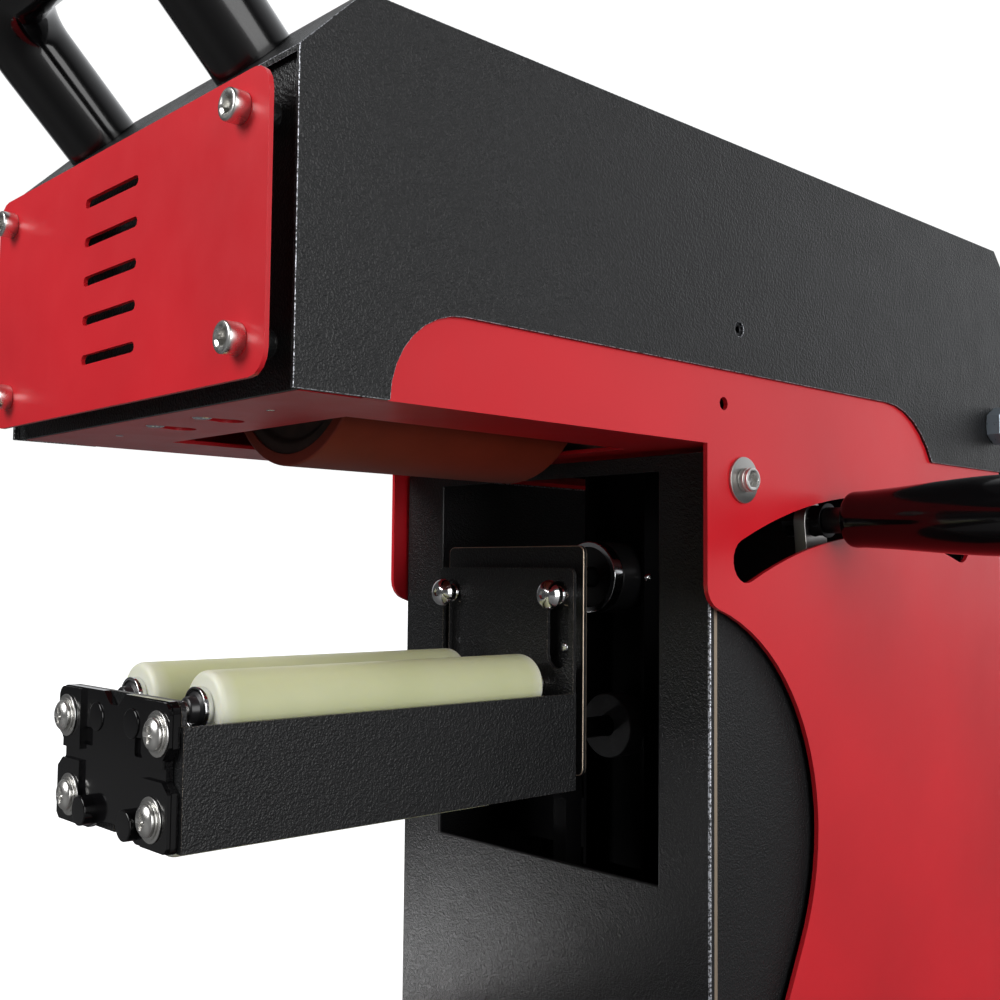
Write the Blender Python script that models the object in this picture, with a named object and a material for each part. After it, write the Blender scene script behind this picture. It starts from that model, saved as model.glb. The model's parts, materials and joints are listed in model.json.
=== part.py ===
"""Bench heat press for bottles and tumblers, modelled as its separate pieces.

A lever lifts a roller tray towards a heated, silicone-covered drum in an overhanging head.
Run it with: blender --background --python part.py

Places are written in the head frame, in metres: x from the mid-plane (the lever is at +x),
y back from the hood's front edge, z up from the underside of the head. The empty head_datum
carries that frame, so the world origin is at the middle of the base's underside.
"""

from math import acos, cos, hypot, pi, radians, sin, sqrt

import bmesh
import bpy
from mathutils import Matrix, Vector

MM = 0.001
GAP = 0.3 * MM  # running and assembly clearance between neighbouring pieces
BEYOND = 10 * MM  # how far a cutter reaches past the face it opens

# Driving dimensions: the head frame in the world
HEAD_FRONT_Y = -241 * MM
HEAD_UNDERSIDE_Z = 340 * MM

# Hood
HOOD_HALF = 100 * MM
HOOD_LENGTH = 460 * MM
HOOD_TOP = 122 * MM
HOOD_CHAMFER = 23 * MM
SHEET = 1.5 * MM
SKIRT_FRONT = 34.5 * MM
SKIRT_RAISED = 29.5 * MM
SKIRT_FRONT_R = 29.5 * MM
SKIRT_REAR_Y = 325 * MM
SKIRT_REAR_R = 48 * MM
SKIRT_REAR_Z = 4.5 * MM

# Side panels: C-shaped plates that carry the head over the base
PANEL_IN = 96.5 * MM
PANEL_OUT = 98.5 * MM
PANEL_FRONT = 26 * MM
PANEL_TOP = 38 * MM
PANEL_REAR = 442 * MM
PANEL_BOTTOM = -338 * MM
THROAT_Y = 191 * MM
BITE_Y = 170.2 * MM
BITE_Z = -157.4 * MM
BITE_R = 97.1 * MM
BITE_END = radians(-28)  # below this the bite's edge runs straight towards the base
BASE_TOP = -270 * MM
BASE_FILLET_R = 30 * MM
PANEL_CORNER_R = 10 * MM
BASE_FRONT = 40 * MM
BASE_CORNER_R = 16 * MM

# Chassis: column and base in one folded box
CHASSIS_HALF = 94 * MM
CHASSIS_WALL = 2 * MM
COLUMN_FRONT = 198.4 * MM
CHASSIS_REAR = 440 * MM
CHASSIS_TOP = -2.3 * MM
CHASSIS_BOTTOM = -337 * MM
CHASSIS_BASE_TOP = -274 * MM
CHASSIS_BASE_FRONT = 44 * MM
OPENING_HALF = 67.8 * MM
OPENING_TOP = -9 * MM
OPENING_BOTTOM = -175.8 * MM

# Base plate and feet
BASE_UNDERSIDE = -340 * MM
EMBOSS = 1 * MM
EMBOSS_HALF = 30 * MM
FOOT_R = 16 * MM
FOOT_HEIGHT = 12 * MM
FOOT_X = 74 * MM

# Lever and its cam
PIVOT_Y = 322.2 * MM
PIVOT_Z = -290.6 * MM
LEVER_R = 267 * MM
LEVER_REST = radians(8.7)
SLOT_FRONT = radians(23.3)
SLOT_REAR = radians(-16.6)
SLOT_HALF = 8.9 * MM
WINDOW_HALF = 14 * MM
ARM_IN = 82.5 * MM
ARM_OUT = 88.5 * MM
SHAFT_R = 8 * MM
CAM_PITCH = 60 * MM
CAM_RISE = 0.75 * MM  # lift for each degree of lever travel
CAM_LOW = -25
CAM_HIGH = 15
CAM_X = (8 * MM, 20 * MM)
FOLLOWER_R = 12 * MM
GRIP_START = 106.5 * MM
GRIP_END = 212 * MM

# Heated drum
DRUM_R = 44.3 * MM
DRUM_Z = 32.5 * MM
DRUM_FRONT = 65 * MM
DRUM_REAR = 181 * MM
SLEEVE = 4.5 * MM

# Tray and rollers
TRAY_HALF = 42.4 * MM
TRAY_TOP = -100 * MM
TRAY_BOTTOM = -139 * MM
TRAY_BACK = 177.3 * MM
TRAY_BACK_TOP = -48.8 * MM
ROLLER_R = 12.6 * MM
ROLLER_X = 23 * MM
ROLLER_Z = -97 * MM
LOWER_ROLLER_Z = -137 * MM
ROLLER_FRONT = 18 * MM
ROLLER_REAR = 166 * MM
AXLE_R = 3 * MM
STUD_R = 4 * MM
CAP_HALF = 40.6 * MM
CAP_TOP = -92.2 * MM
CAP_BOTTOM = -139.3 * MM
CAP_FACE = -2 * MM
PAD_FACE = -3.3 * MM

# Carriage
CARRIAGE_FRONT = 181.3 * MM
CARRIAGE_BACK = 183.5 * MM
CLAMP_X = 33.5 * MM
CLAMP_Z = -60 * MM
CLAMP_TRAVEL = 24 * MM
CLAMP_SLOT_R = 6 * MM
WHEEL_AXIS_Y = 230 * MM
UPPER_WHEEL = (16.6 * MM, 230 * MM)  # radius and front face
LOWER_WHEEL = (15 * MM, 243 * MM)
WHEEL_BACK = 256 * MM
WHEELS_Z = (-52.5 * MM, -122 * MM)


# ---------------------------------------------------------------- materials


def material(name, colour, roughness, metallic=0.0):
    made = bpy.data.materials.new(name)
    made.use_nodes = True
    shader = made.node_tree.nodes["Principled BSDF"]
    shader.inputs["Base Color"].default_value = (*colour, 1.0)
    shader.inputs["Roughness"].default_value = roughness
    shader.inputs["Metallic"].default_value = metallic
    made.diffuse_color = (*colour, 1.0)
    return made


def make_materials():
    return {
        "black_paint": material("black_paint", (0.02, 0.02, 0.022), 0.45),
        "red_paint": material("red_paint", (0.72, 0.03, 0.06), 0.4),
        "gloss_black": material("gloss_black", (0.01, 0.01, 0.011), 0.15),
        "steel": material("steel", (0.62, 0.62, 0.6), 0.3, 1.0),
        "chrome": material("chrome", (0.8, 0.8, 0.8), 0.12, 1.0),
        "drum_silicone": material("drum_silicone", (0.36, 0.1, 0.05), 0.5),
        "roller_silicone": material("roller_silicone", (0.8, 0.82, 0.55), 0.5),
        "rubber": material("rubber", (0.03, 0.03, 0.03), 0.7),
        "black_plastic": material("black_plastic", (0.03, 0.03, 0.032), 0.35),
        "display": material("display", (0.05, 0.07, 0.08), 0.1),
        "button": material("button", (0.75, 0.75, 0.73), 0.4),
    }


# ---------------------------------------------------------------- outlines


def arc(centre, radius, start, end, steps):
    """Points from angle start to angle end, in radians, both included."""
    turn = [start + (end - start) * i / steps for i in range(steps + 1)]
    return [(centre[0] + radius * cos(a), centre[1] + radius * sin(a)) for a in turn]


def circle(centre, radius, steps=16):
    return arc(centre, radius, 0, 2 * pi, steps)[:-1]


def rectangle(low, high):
    return [(low[0], low[1]), (high[0], low[1]), (high[0], high[1]), (low[0], high[1])]


def rounded_rectangle(low, high, radius, steps=4):
    corners = (
        (high[0] - radius, low[1] + radius, -pi / 2),
        (high[0] - radius, high[1] - radius, 0),
        (low[0] + radius, high[1] - radius, pi / 2),
        (low[0] + radius, low[1] + radius, pi),
    )
    return [p for u, v, a in corners for p in arc((u, v), radius, a, a + pi / 2, steps)]


def straight_slot(first, last, radius, steps=6):
    """A round-ended slot whose end arcs are centred on first and last."""
    along = Vector(last) - Vector(first)
    heading = Vector((1, 0)).angle_signed(along) if along.length else 0.0
    side = -heading + pi / 2
    return arc(first, radius, side, side + pi, steps) + arc(last, radius, side + pi, side + 2 * pi, steps)


def lever_place(angle, radius=LEVER_R):
    """A point at this radius from the lever's pivot, angle forward of straight up."""
    return (PIVOT_Y - radius * sin(angle), PIVOT_Z + radius * cos(angle))


def lever_slot(front, rear, half, steps=20):
    """The arc slot that the lever sweeps, from its front end to its rear end."""
    centre = (PIVOT_Y, PIVOT_Z)
    front_turn = pi / 2 + front
    rear_turn = pi / 2 + rear
    outline = arc(centre, LEVER_R + half, rear_turn, front_turn, steps)
    outline += arc(lever_place(front), half, front_turn, front_turn + pi, 10)[1:-1]
    outline += arc(centre, LEVER_R - half, front_turn, rear_turn, steps)
    outline += arc(lever_place(rear), half, rear_turn + pi, rear_turn + 2 * pi, 10)[1:-1]
    return outline


# ---------------------------------------------------------------- solids

TO_SPACE = {
    "XY": lambda u, v, w: (u, v, w),
    "XZ": lambda u, v, w: (u, w, v),
    "YZ": lambda u, v, w: (w, u, v),
}
TURN_AXIS = {
    "X": lambda t, a, b: (t, a, b),
    "Y": lambda t, a, b: (a, t, b),
    "Z": lambda t, a, b: (a, b, t),
}


def plate_mesh(plane, outline, low, high, holes=()):
    """A flat outline with holes, thickened from low to high across its plane."""
    curve = bpy.data.curves.new("outline", "CURVE")
    curve.dimensions = "2D"
    curve.fill_mode = "BOTH"
    curve.extrude = (high - low) / 2
    for loop in (outline, *holes):
        spline = curve.splines.new("POLY")
        spline.points.add(len(loop) - 1)
        spline.use_cyclic_u = True
        for point, (u, v) in zip(spline.points, loop):
            point.co = (u, v, 0, 1)
    guide = bpy.data.objects.new("outline", curve)
    mesh = bpy.data.meshes.new_from_object(guide)
    bpy.data.objects.remove(guide)
    bpy.data.curves.remove(curve)
    for vertex in mesh.vertices:
        u, v, w = vertex.co
        vertex.co = TO_SPACE[plane](u, v, w + (low + high) / 2)
    return closed_up(mesh)


def turned_mesh(axis, centre, profile, steps=24):
    """A profile of (place along axis, radius) pairs, turned about a line through centre.

    A profile that starts and ends on the axis makes a solid piece, any other one a ring.
    """
    form = bmesh.new()
    rings = []
    for place, radius in profile:
        count = steps if radius > 0 else 1
        ring = []
        for i in range(count):
            a, b = radius * cos(2 * pi * i / steps), radius * sin(2 * pi * i / steps)
            ring.append(form.verts.new(TURN_AXIS[axis](place, centre[0] + a, centre[1] + b)))
        rings.append(ring)
    pairs = list(zip(rings, rings[1:]))
    if profile[0][1] > 0:
        pairs.append((rings[-1], rings[0]))
    for first, second in pairs:
        for i in range(steps):
            corners = [first[i % len(first)], first[(i + 1) % len(first)]]
            corners += [second[(i + 1) % len(second)], second[i % len(second)]]
            form.faces.new(list(dict.fromkeys(corners)))
    mesh = bpy.data.meshes.new("turned")
    form.to_mesh(mesh)
    form.free()
    return closed_up(mesh)


def box_mesh(low, high):
    outline = rectangle((low[0], low[1]), (high[0], high[1]))
    return plate_mesh("XY", outline, low[2], high[2])


def closed_up(mesh):
    """Joins coincident vertices and points every face outwards."""
    form = bmesh.new()
    form.from_mesh(mesh)
    bmesh.ops.remove_doubles(form, verts=form.verts, dist=1e-6)
    bmesh.ops.recalc_face_normals(form, faces=form.faces)
    form.to_mesh(mesh)
    form.free()
    return mesh


def rod_profile(start, end, radius):
    return [(start, 0), (start, radius), (end, radius), (end, 0)]


def tube_profile(start, end, inner, outer):
    return [(start, inner), (start, outer), (end, outer), (end, inner)]


# ---------------------------------------------------------------- assembly


class Assembly:
    """Puts pieces into the scene under head_datum, or under a joint's empty."""

    def __init__(self):
        self.materials = make_materials()
        self.collection = bpy.context.scene.collection
        self.datum = bpy.data.objects.new("head_datum", None)
        self.datum.location = (0, HEAD_FRONT_Y, HEAD_UNDERSIDE_Z)
        self.collection.objects.link(self.datum)

    def joint(self, name, place, parent=None):
        """An empty on a joint's axis. The pieces of its body hang from it."""
        empty = bpy.data.objects.new(name, None)
        empty.parent = parent or self.datum
        empty["place"] = place
        held = Vector(parent["place"]) if parent else Vector()
        empty.location = Vector(place) - held
        self.collection.objects.link(empty)
        return empty

    def piece(self, name, mesh, slot, joint=None):
        mesh.name = name
        held = Vector(joint["place"]) if joint else Vector()
        mesh.transform(Matrix.Translation(-held))
        mesh.shade_smooth()
        mesh.set_sharp_from_angle(angle=radians(32))
        mesh.materials.clear()
        mesh.materials.append(self.materials[slot])
        made = bpy.data.objects.new(name, mesh)
        made.parent = joint or self.datum
        self.collection.objects.link(made)
        return made

    def shape(self, target, mesh, operation):
        """Cuts mesh from the target, or joins it on, through a Boolean modifier."""
        tool = bpy.data.objects.new(f"{target.name}_tool", mesh)
        mesh.transform(Matrix.Translation(-Vector(target.parent.get("place", (0, 0, 0)))))
        tool.parent = target.parent
        tool.hide_render = True
        tool.display_type = "WIRE"
        self.collection.objects.link(tool)
        step = target.modifiers.new(operation.lower(), "BOOLEAN")
        step.operation = operation
        step.solver = "EXACT"
        step.object = tool

    def cut(self, target, mesh):
        self.shape(target, mesh, "DIFFERENCE")

    def join(self, target, mesh):
        self.shape(target, mesh, "UNION")


def socket_screw(add, name, axis, centre, seat, out, sizes, slot="steel", joint=None):
    """A cap screw. sizes is head radius, head height, shank radius and shank length.

    seat is where the head's underside sits along the axis, and out is +1 or -1, the way the head faces.
    """
    head_r, head_h, shank_r, shank_l = sizes
    profile = [
        (seat - out * shank_l, 0),
        (seat - out * shank_l, shank_r),
        (seat, shank_r),
        (seat, head_r),
        (seat + out * head_h, head_r),
        (seat + out * head_h, head_r * 0.52),
        (seat + out * head_h * 0.45, head_r * 0.5),
        (seat + out * head_h * 0.45, 0),
    ]
    return add.piece(name, turned_mesh(axis, centre, profile, 16), slot, joint)


# ---------------------------------------------------------------- frame and covers


def panel_outline():
    """The C: under the head, round the bite in its throat and over the base."""
    lip = PANEL_CORNER_R
    reach = sqrt((BITE_R + lip) ** 2 - (THROAT_Y + lip - BITE_Y) ** 2)
    lip_centre = (THROAT_Y + lip, BITE_Z + reach)
    touch = Vector((lip_centre[0] - BITE_Y, reach)).normalized() * BITE_R
    touch_turn = Vector((1, 0)).angle_signed(touch) * -1
    lip_turn = touch_turn + pi
    outline = [(PANEL_FRONT, PANEL_TOP), (PANEL_FRONT, 0), (THROAT_Y, 0)]
    outline += arc(lip_centre, lip, pi, lip_turn, 4)
    outline += arc((BITE_Y, BITE_Z), BITE_R, touch_turn, BITE_END, 22)[1:]
    inward = Vector((-cos(BITE_END), -sin(BITE_END)))
    down = Vector((sin(BITE_END), -cos(BITE_END)))
    start = Vector((BITE_Y, BITE_Z)) - inward * BITE_R
    run = (BASE_TOP - start.y + (1 - inward.y) * BASE_FILLET_R) / down.y
    centre = start + down * run + inward * BASE_FILLET_R
    outline += arc(centre, BASE_FILLET_R, BITE_END, -pi / 2, 8)
    corner = (BASE_FRONT + BASE_CORNER_R, BASE_TOP - BASE_CORNER_R)
    outline += arc(corner, BASE_CORNER_R, pi / 2, pi, 5)
    outline += [(BASE_FRONT, PANEL_BOTTOM), (PANEL_REAR, PANEL_BOTTOM), (PANEL_REAR, PANEL_TOP)]
    return outline


SIDE_BOLT = (213.7 * MM, -13.2 * MM)
HOOD_BOLT = (433 * MM, 28 * MM)
PANEL_HOLE = (201.5 * MM, 16.4 * MM)
HOOD_SCREW = (209.8 * MM, 47 * MM)
SIDES = (("right", 1), ("left", -1))


def add_side_panels(add):
    for name, side in SIDES:
        holes = [circle(SIDE_BOLT, 3.4 * MM, 12), circle(HOOD_BOLT, 4.4 * MM, 12)]
        holes.append(circle(PANEL_HOLE, 2.7 * MM, 10))
        if side > 0:
            holes.append(lever_slot(SLOT_FRONT, SLOT_REAR, SLOT_HALF))
        low, high = sorted((side * PANEL_IN, side * PANEL_OUT))
        mesh = plate_mesh("YZ", panel_outline(), low, high, holes)
        add.piece(f"side_panel_{name}", mesh, "red_paint")
        washer = rod_profile(side * (PANEL_OUT + GAP), side * (PANEL_OUT + 1.5 * MM), 9.3 * MM)
        bolt = socket_screw(
            add, f"side_bolt_{name}", "X", SIDE_BOLT, side * (PANEL_OUT + 1.2 * MM), side,
            (4.8 * MM, 4.1 * MM, 3 * MM, 5 * MM),
        )
        add.join(bolt, turned_mesh("X", SIDE_BOLT, washer, 20))
        hood_face = side * (HOOD_HALF + GAP)
        head = rod_profile(hood_face, hood_face + side * 8 * MM, 9.8 * MM)
        hex_bolt = add.piece(f"hood_bolt_{name}", turned_mesh("X", HOOD_BOLT, head, 6), "chrome")
        shank = rod_profile(side * 95.2 * MM, hood_face + side * 3 * MM, 4 * MM)
        add.join(hex_bolt, turned_mesh("X", HOOD_BOLT, shank, 12))


def hood_outline():
    """The hood seen from the side, with the stepped lower edge of its skirts."""
    rear_turn = fallen_turn(SKIRT_RAISED - SKIRT_REAR_Z, SKIRT_REAR_R)
    front = (SKIRT_FRONT + SKIRT_FRONT_R, 0)
    rear = (SKIRT_REAR_Y, SKIRT_RAISED - SKIRT_REAR_R)
    outline = [(0, 0)]
    outline += arc(front, SKIRT_FRONT_R, pi, pi / 2, 8)
    outline += arc(rear, SKIRT_REAR_R, pi / 2, rear_turn, 6)
    outline += [(HOOD_LENGTH, SKIRT_REAR_Z), (HOOD_LENGTH, HOOD_TOP - HOOD_CHAMFER)]
    outline += [(HOOD_LENGTH - HOOD_CHAMFER, HOOD_TOP), (HOOD_CHAMFER, HOOD_TOP)]
    outline += [(0, HOOD_TOP - HOOD_CHAMFER)]
    return outline


def fallen_turn(fall, radius):
    """The angle on a circle of this radius where it lies fall below its highest point."""
    height = radius - fall
    return pi / 2 - Vector((0, 1)).angle(Vector((sqrt(radius**2 - height**2), height)))


def add_hood(add):
    mesh = plate_mesh("YZ", hood_outline(), -HOOD_HALF, HOOD_HALF)
    hood = add.piece("hood", mesh, "black_paint")
    slant = SHEET * (sqrt(2) - 1)
    top = HOOD_TOP - SHEET
    rear = HOOD_LENGTH - SHEET
    chamfer = HOOD_CHAMFER - slant
    ahead = 6 * MM
    inside = [(-ahead, -30 * MM), (rear, -30 * MM), (rear, top - chamfer + SHEET)]
    inside += [(rear - chamfer + SHEET, top), (HOOD_CHAMFER + slant, top)]
    inside += [(-ahead, top - HOOD_CHAMFER - slant - ahead)]
    add.cut(hood, plate_mesh("YZ", inside, -HOOD_HALF + SHEET, HOOD_HALF - SHEET))
    reach = HOOD_HALF + BEYOND
    add.cut(hood, turned_mesh("X", HOOD_BOLT, rod_profile(-reach, reach, 4.4 * MM), 12))
    add.cut(hood, turned_mesh("X", HOOD_SCREW, rod_profile(-reach, reach, 3 * MM), 10))


def keyhole(x, y):
    """A round hole with a narrow slot ahead of it, which hangs on a screw head."""
    wide, narrow, length = 5 * MM, 2.8 * MM, 12 * MM
    half = acos(narrow / wide) - pi / 2
    outline = arc((x, y), wide, half, pi - half, 12)
    return outline + arc((x, y - length), narrow, pi, 2 * pi, 6)


def add_arm(add):
    half = 96.2 * MM
    holes = [rectangle((-59 * MM, 48 * MM), (59 * MM, 188 * MM))]
    holes += [keyhole(x, 28 * MM) for x in (-14 * MM, 19 * MM)]
    holes += [circle((x, 22.5 * MM), 1.8 * MM, 10) for x in (-53 * MM, 53 * MM)]
    outline = rectangle((-half, 3.8 * MM), (half, 439 * MM))
    add.piece("arm_floor", plate_mesh("XY", outline, 0, SHEET, holes), "red_paint")

    outline = rectangle((-98.2 * MM, 0), (98.2 * MM, 98.4 * MM))
    front = add.piece("arm_front", plate_mesh("XZ", outline, 2 * MM, 3.5 * MM), "black_paint")
    for x, z in front_screw_places():
        spacer = [(-6.6 * MM, 0), (-6.6 * MM, 5.3 * MM), (-2.6 * MM, 5.3 * MM)]
        spacer += [(-2.2 * MM, 4.4 * MM), (2.8 * MM, 4.4 * MM), (2.8 * MM, 0)]
        add.join(front, turned_mesh("Y", (x, z), spacer, 16))
        add.cut(front, turned_mesh("Y", (x, z), rod_profile(-9 * MM, 1 * MM, 3.3 * MM), 12))

    slots = [
        straight_slot((-18 * MM, z * MM), (18 * MM, z * MM), 1.75 * MM, 4)
        for z in (21, 34.8, 48.6, 62.4, 76.2)
    ]
    holes = [circle(place, 3.3 * MM, 12) for place in front_screw_places()]
    outline = rounded_rectangle((-98 * MM, 3 * MM), (98 * MM, 92.5 * MM), 8 * MM)
    mesh = plate_mesh("XZ", outline, -8.4 * MM, -6.9 * MM, slots + holes)
    add.piece("front_plate", mesh, "red_paint")
    corners = ("lower_left", "upper_left", "lower_right", "upper_right")
    for corner, place in zip(corners, front_screw_places()):
        sizes = (4.9 * MM, 5.3 * MM, 3 * MM, 9 * MM)
        socket_screw(add, f"front_screw_{corner}", "Y", place, -8.7 * MM, -1, sizes, "chrome")


def front_screw_places():
    return [(x * MM, z * MM) for x in (-84, 84) for z in (14.5, 81.8)]


def add_carry_handle(add):
    """A tube bent into a U, standing square on the hood's front chamfer."""
    raised = 1.4 * MM
    seat = Vector((0, HOOD_CHAMFER / 2 + raised, HOOD_TOP - HOOD_CHAMFER / 2 + raised))
    out = Vector((0, -sqrt(0.5), sqrt(0.5)))
    across = Vector((1, 0, 0))
    half, reach, bend = 53.6 * MM, 61 * MM, 23.5 * MM
    path = [seat - half * across + GAP * out]
    corner = seat - (half - bend) * across + (reach - bend) * out
    path += [corner - bend * (cos(a) * across - sin(a) * out) for a in quarter()]
    corner = seat + (half - bend) * across + (reach - bend) * out
    path += [corner + bend * (sin(a) * across + cos(a) * out) for a in quarter()]
    path += [seat + half * across + GAP * out]
    add.piece("carry_handle", swept_mesh(path, 14.2 * MM), "gloss_black")


def quarter(steps=6):
    return [pi / 2 * i / steps for i in range(steps + 1)]


def swept_mesh(path, radius):
    """A round bar along a path, with flat ends."""
    curve = bpy.data.curves.new("path", "CURVE")
    curve.dimensions = "3D"
    curve.bevel_depth = radius
    curve.bevel_resolution = 6
    curve.use_fill_caps = True
    spline = curve.splines.new("POLY")
    spline.points.add(len(path) - 1)
    for point, place in zip(spline.points, path):
        point.co = (*place, 1)
    guide = bpy.data.objects.new("path", curve)
    mesh = bpy.data.meshes.new_from_object(guide)
    bpy.data.objects.remove(guide)
    bpy.data.curves.remove(curve)
    return closed_up(mesh)


def add_chassis(add):
    """A folded box: the column stands on a base that reaches forward under the tray."""
    outer = [
        (CHASSIS_BASE_FRONT, CHASSIS_BOTTOM),
        (CHASSIS_REAR, CHASSIS_BOTTOM),
        (CHASSIS_REAR, CHASSIS_TOP),
        (COLUMN_FRONT, CHASSIS_TOP),
        (COLUMN_FRONT, CHASSIS_BASE_TOP),
        (CHASSIS_BASE_FRONT, CHASSIS_BASE_TOP),
    ]
    wall = CHASSIS_WALL
    inner = [
        (CHASSIS_BASE_FRONT + wall, CHASSIS_BOTTOM - BEYOND),
        (CHASSIS_REAR + BEYOND, CHASSIS_BOTTOM - BEYOND),
        (CHASSIS_REAR + BEYOND, CHASSIS_TOP + BEYOND),
        (COLUMN_FRONT + wall, CHASSIS_TOP + BEYOND),
        (COLUMN_FRONT + wall, CHASSIS_BASE_TOP - wall),
        (CHASSIS_BASE_FRONT + wall, CHASSIS_BASE_TOP - wall),
    ]
    half = CHASSIS_HALF
    chassis = add.piece("chassis", plate_mesh("YZ", outer, -half, half), "black_paint")
    add.cut(chassis, plate_mesh("YZ", inner, -half + wall, half - wall))
    opening = rectangle((-OPENING_HALF, OPENING_BOTTOM), (OPENING_HALF, OPENING_TOP))
    add.cut(chassis, plate_mesh("XZ", opening, COLUMN_FRONT - BEYOND, COLUMN_FRONT + BEYOND))
    window = lever_slot(SLOT_FRONT, SLOT_REAR, WINDOW_HALF)
    add.cut(chassis, plate_mesh("YZ", window, half - 2 * wall, half + BEYOND))
    for y, z, radius in ((370, -26.5, 21), (367.7, -98, 22)):
        hole = rod_profile(-half - BEYOND, -half + BEYOND, radius * MM)
        add.cut(chassis, turned_mesh("X", (y * MM, z * MM), hole))
    for side in (-1, 1):
        boss = rod_profile(side * 89 * MM, side * 93 * MM, 15 * MM)
        add.join(chassis, turned_mesh("X", (PIVOT_Y, PIVOT_Z), boss))
        bearing = rod_profile(side * 85 * MM, side * 92 * MM, SHAFT_R + GAP)
        add.cut(chassis, turned_mesh("X", (PIVOT_Y, PIVOT_Z), bearing))


def add_base(add):
    low, high = BASE_UNDERSIDE + EMBOSS, PANEL_BOTTOM + 0.4 * MM
    front, rear = BASE_FRONT + 2 * MM, PANEL_REAR - 2 * MM
    middle = -HEAD_FRONT_Y
    mesh = box_mesh((-96 * MM, front, low), (96 * MM, rear, high))
    base = add.piece("base_plate", mesh, "black_paint")
    emboss = rounded_rectangle(
        (-EMBOSS_HALF, middle - EMBOSS_HALF), (EMBOSS_HALF, middle + EMBOSS_HALF), 6 * MM
    )
    add.join(base, plate_mesh("XY", emboss, BASE_UNDERSIDE, low + 0.5 * MM))
    top = low - GAP
    for end, y in (("front", 70 * MM), ("rear", 412 * MM)):
        for name, side in SIDES:
            bottom = top - FOOT_HEIGHT
            profile = [(bottom, 0), (bottom, FOOT_R * 0.86), (top, FOOT_R), (top, 0)]
            foot = turned_mesh("Z", (side * FOOT_X, y), profile, 20)
            add.piece(f"foot_{end}_{name}", foot, "rubber")


INLET = ((-52 * MM, -314 * MM), (-22 * MM, -292 * MM))
SWITCH = ((18 * MM, -314 * MM), (46 * MM, -292 * MM))


def grown(box, by):
    (u0, v0), (u1, v1) = box
    return (u0 - by, v0 - by), (u1 + by, v1 + by)


def add_rear(add):
    """The rear cover, with the mains inlet and the power switch low down in it."""
    face = CHASSIS_REAR + GAP
    outline = rounded_rectangle((-93 * MM, -336 * MM), (93 * MM, 2 * MM), 5 * MM)
    holes = [rectangle(*grown(INLET, GAP)), rectangle(*grown(SWITCH, GAP))]
    for row in range(6):
        z = (-60 - 14 * row) * MM
        holes.append(straight_slot((-30 * MM, z), (30 * MM, z), 2 * MM, 4))
    mesh = plate_mesh("XZ", outline, face, face + SHEET, holes)
    add.piece("rear_cover", mesh, "black_paint")

    outside = face + SHEET + GAP
    proud = outside + 1 * MM
    mesh = plate_mesh("XZ", rectangle(*INLET), 415 * MM, proud)
    inlet = add.piece("power_inlet", mesh, "black_plastic")
    rim = rounded_rectangle(*grown(INLET, 3 * MM), 3 * MM)
    add.join(inlet, plate_mesh("XZ", rim, outside, outside + 2.5 * MM))
    well = rectangle(*grown(INLET, -3 * MM))
    add.cut(inlet, plate_mesh("XZ", well, outside - 14 * MM, outside + BEYOND))
    for x in (-45 * MM, -37 * MM, -29 * MM):
        pin_low = (x - 1 * MM, outside - 16 * MM, -305 * MM)
        pin_high = (x + 1 * MM, outside - 2 * MM, -301 * MM)
        add.join(inlet, box_mesh(pin_low, pin_high))

    mesh = plate_mesh("XZ", rectangle(*SWITCH), 424 * MM, proud)
    switch = add.piece("power_switch", mesh, "black_plastic")
    rim = rounded_rectangle(*grown(SWITCH, 3 * MM), 3 * MM)
    add.join(switch, plate_mesh("XZ", rim, outside, outside + 2.5 * MM))
    well = rectangle(*grown(SWITCH, -3 * MM))
    add.cut(switch, plate_mesh("XZ", well, outside - 10 * MM, outside + BEYOND))

    middle = (SWITCH[0][0] + SWITCH[1][0]) / 2, (SWITCH[0][1] + SWITCH[1][1]) / 2
    pivot = add.joint("power_rocker_pivot", (middle[0], outside - 1 * MM, middle[1]))
    reach = (SWITCH[1][0] - SWITCH[0][0]) / 2 - 5 * MM
    profile = [(-reach, 2.6), (0, 0.8), (reach, 5.2), (reach * 0.8, -4), (-reach * 0.8, -4)]
    outline = [(middle[0] + u, outside + (v - 1) * MM) for u, v in profile]
    low, high = SWITCH[0][1] + 4 * MM, SWITCH[1][1] - 4 * MM
    add.piece("power_rocker", plate_mesh("XY", outline, low, high), "black_plastic", pivot)


BUTTONS = (("set", 30), ("up", 46), ("down", 62))
PANEL_Y = 215 * MM


def add_control_panel(add):
    """The temperature and time controller on top of the hood, near the lever."""
    low = HOOD_TOP + GAP
    deep = 46 * MM
    outline = rounded_rectangle((-12 * MM, PANEL_Y), (78 * MM, PANEL_Y + deep), 5 * MM)
    lens = ((-6 * MM, PANEL_Y + 8 * MM), (20 * MM, PANEL_Y + deep - 8 * MM))
    middle = PANEL_Y + deep / 2
    holes = [circle((x * MM, middle), 5 * MM + GAP, 16) for _, x in BUTTONS]
    mesh = plate_mesh("XY", outline, low, low + 6 * MM, holes)
    bezel = add.piece("control_bezel", mesh, "black_plastic")
    add.cut(bezel, plate_mesh("XY", rectangle(*grown(lens, GAP)), low + 3 * MM, low + BEYOND))
    mesh = plate_mesh("XY", rectangle(*lens), low + 3 * MM + GAP, low + 6.2 * MM)
    add.piece("display_lens", mesh, "display")
    for name, x in BUTTONS:
        place = (x * MM, middle)
        guide = add.joint(f"{name}_button_guide", (*place, low + 1.5 * MM))
        profile = [(low + 1.5 * MM, 0), (low + 1.5 * MM, 5 * MM), (low + 6.6 * MM, 5 * MM)]
        profile += [(low + 7.4 * MM, 4.2 * MM), (low + 7.4 * MM, 0)]
        add.piece(f"button_{name}", turned_mesh("Z", place, profile, 16), "button", guide)


# ---------------------------------------------------------------- heated drum


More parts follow.
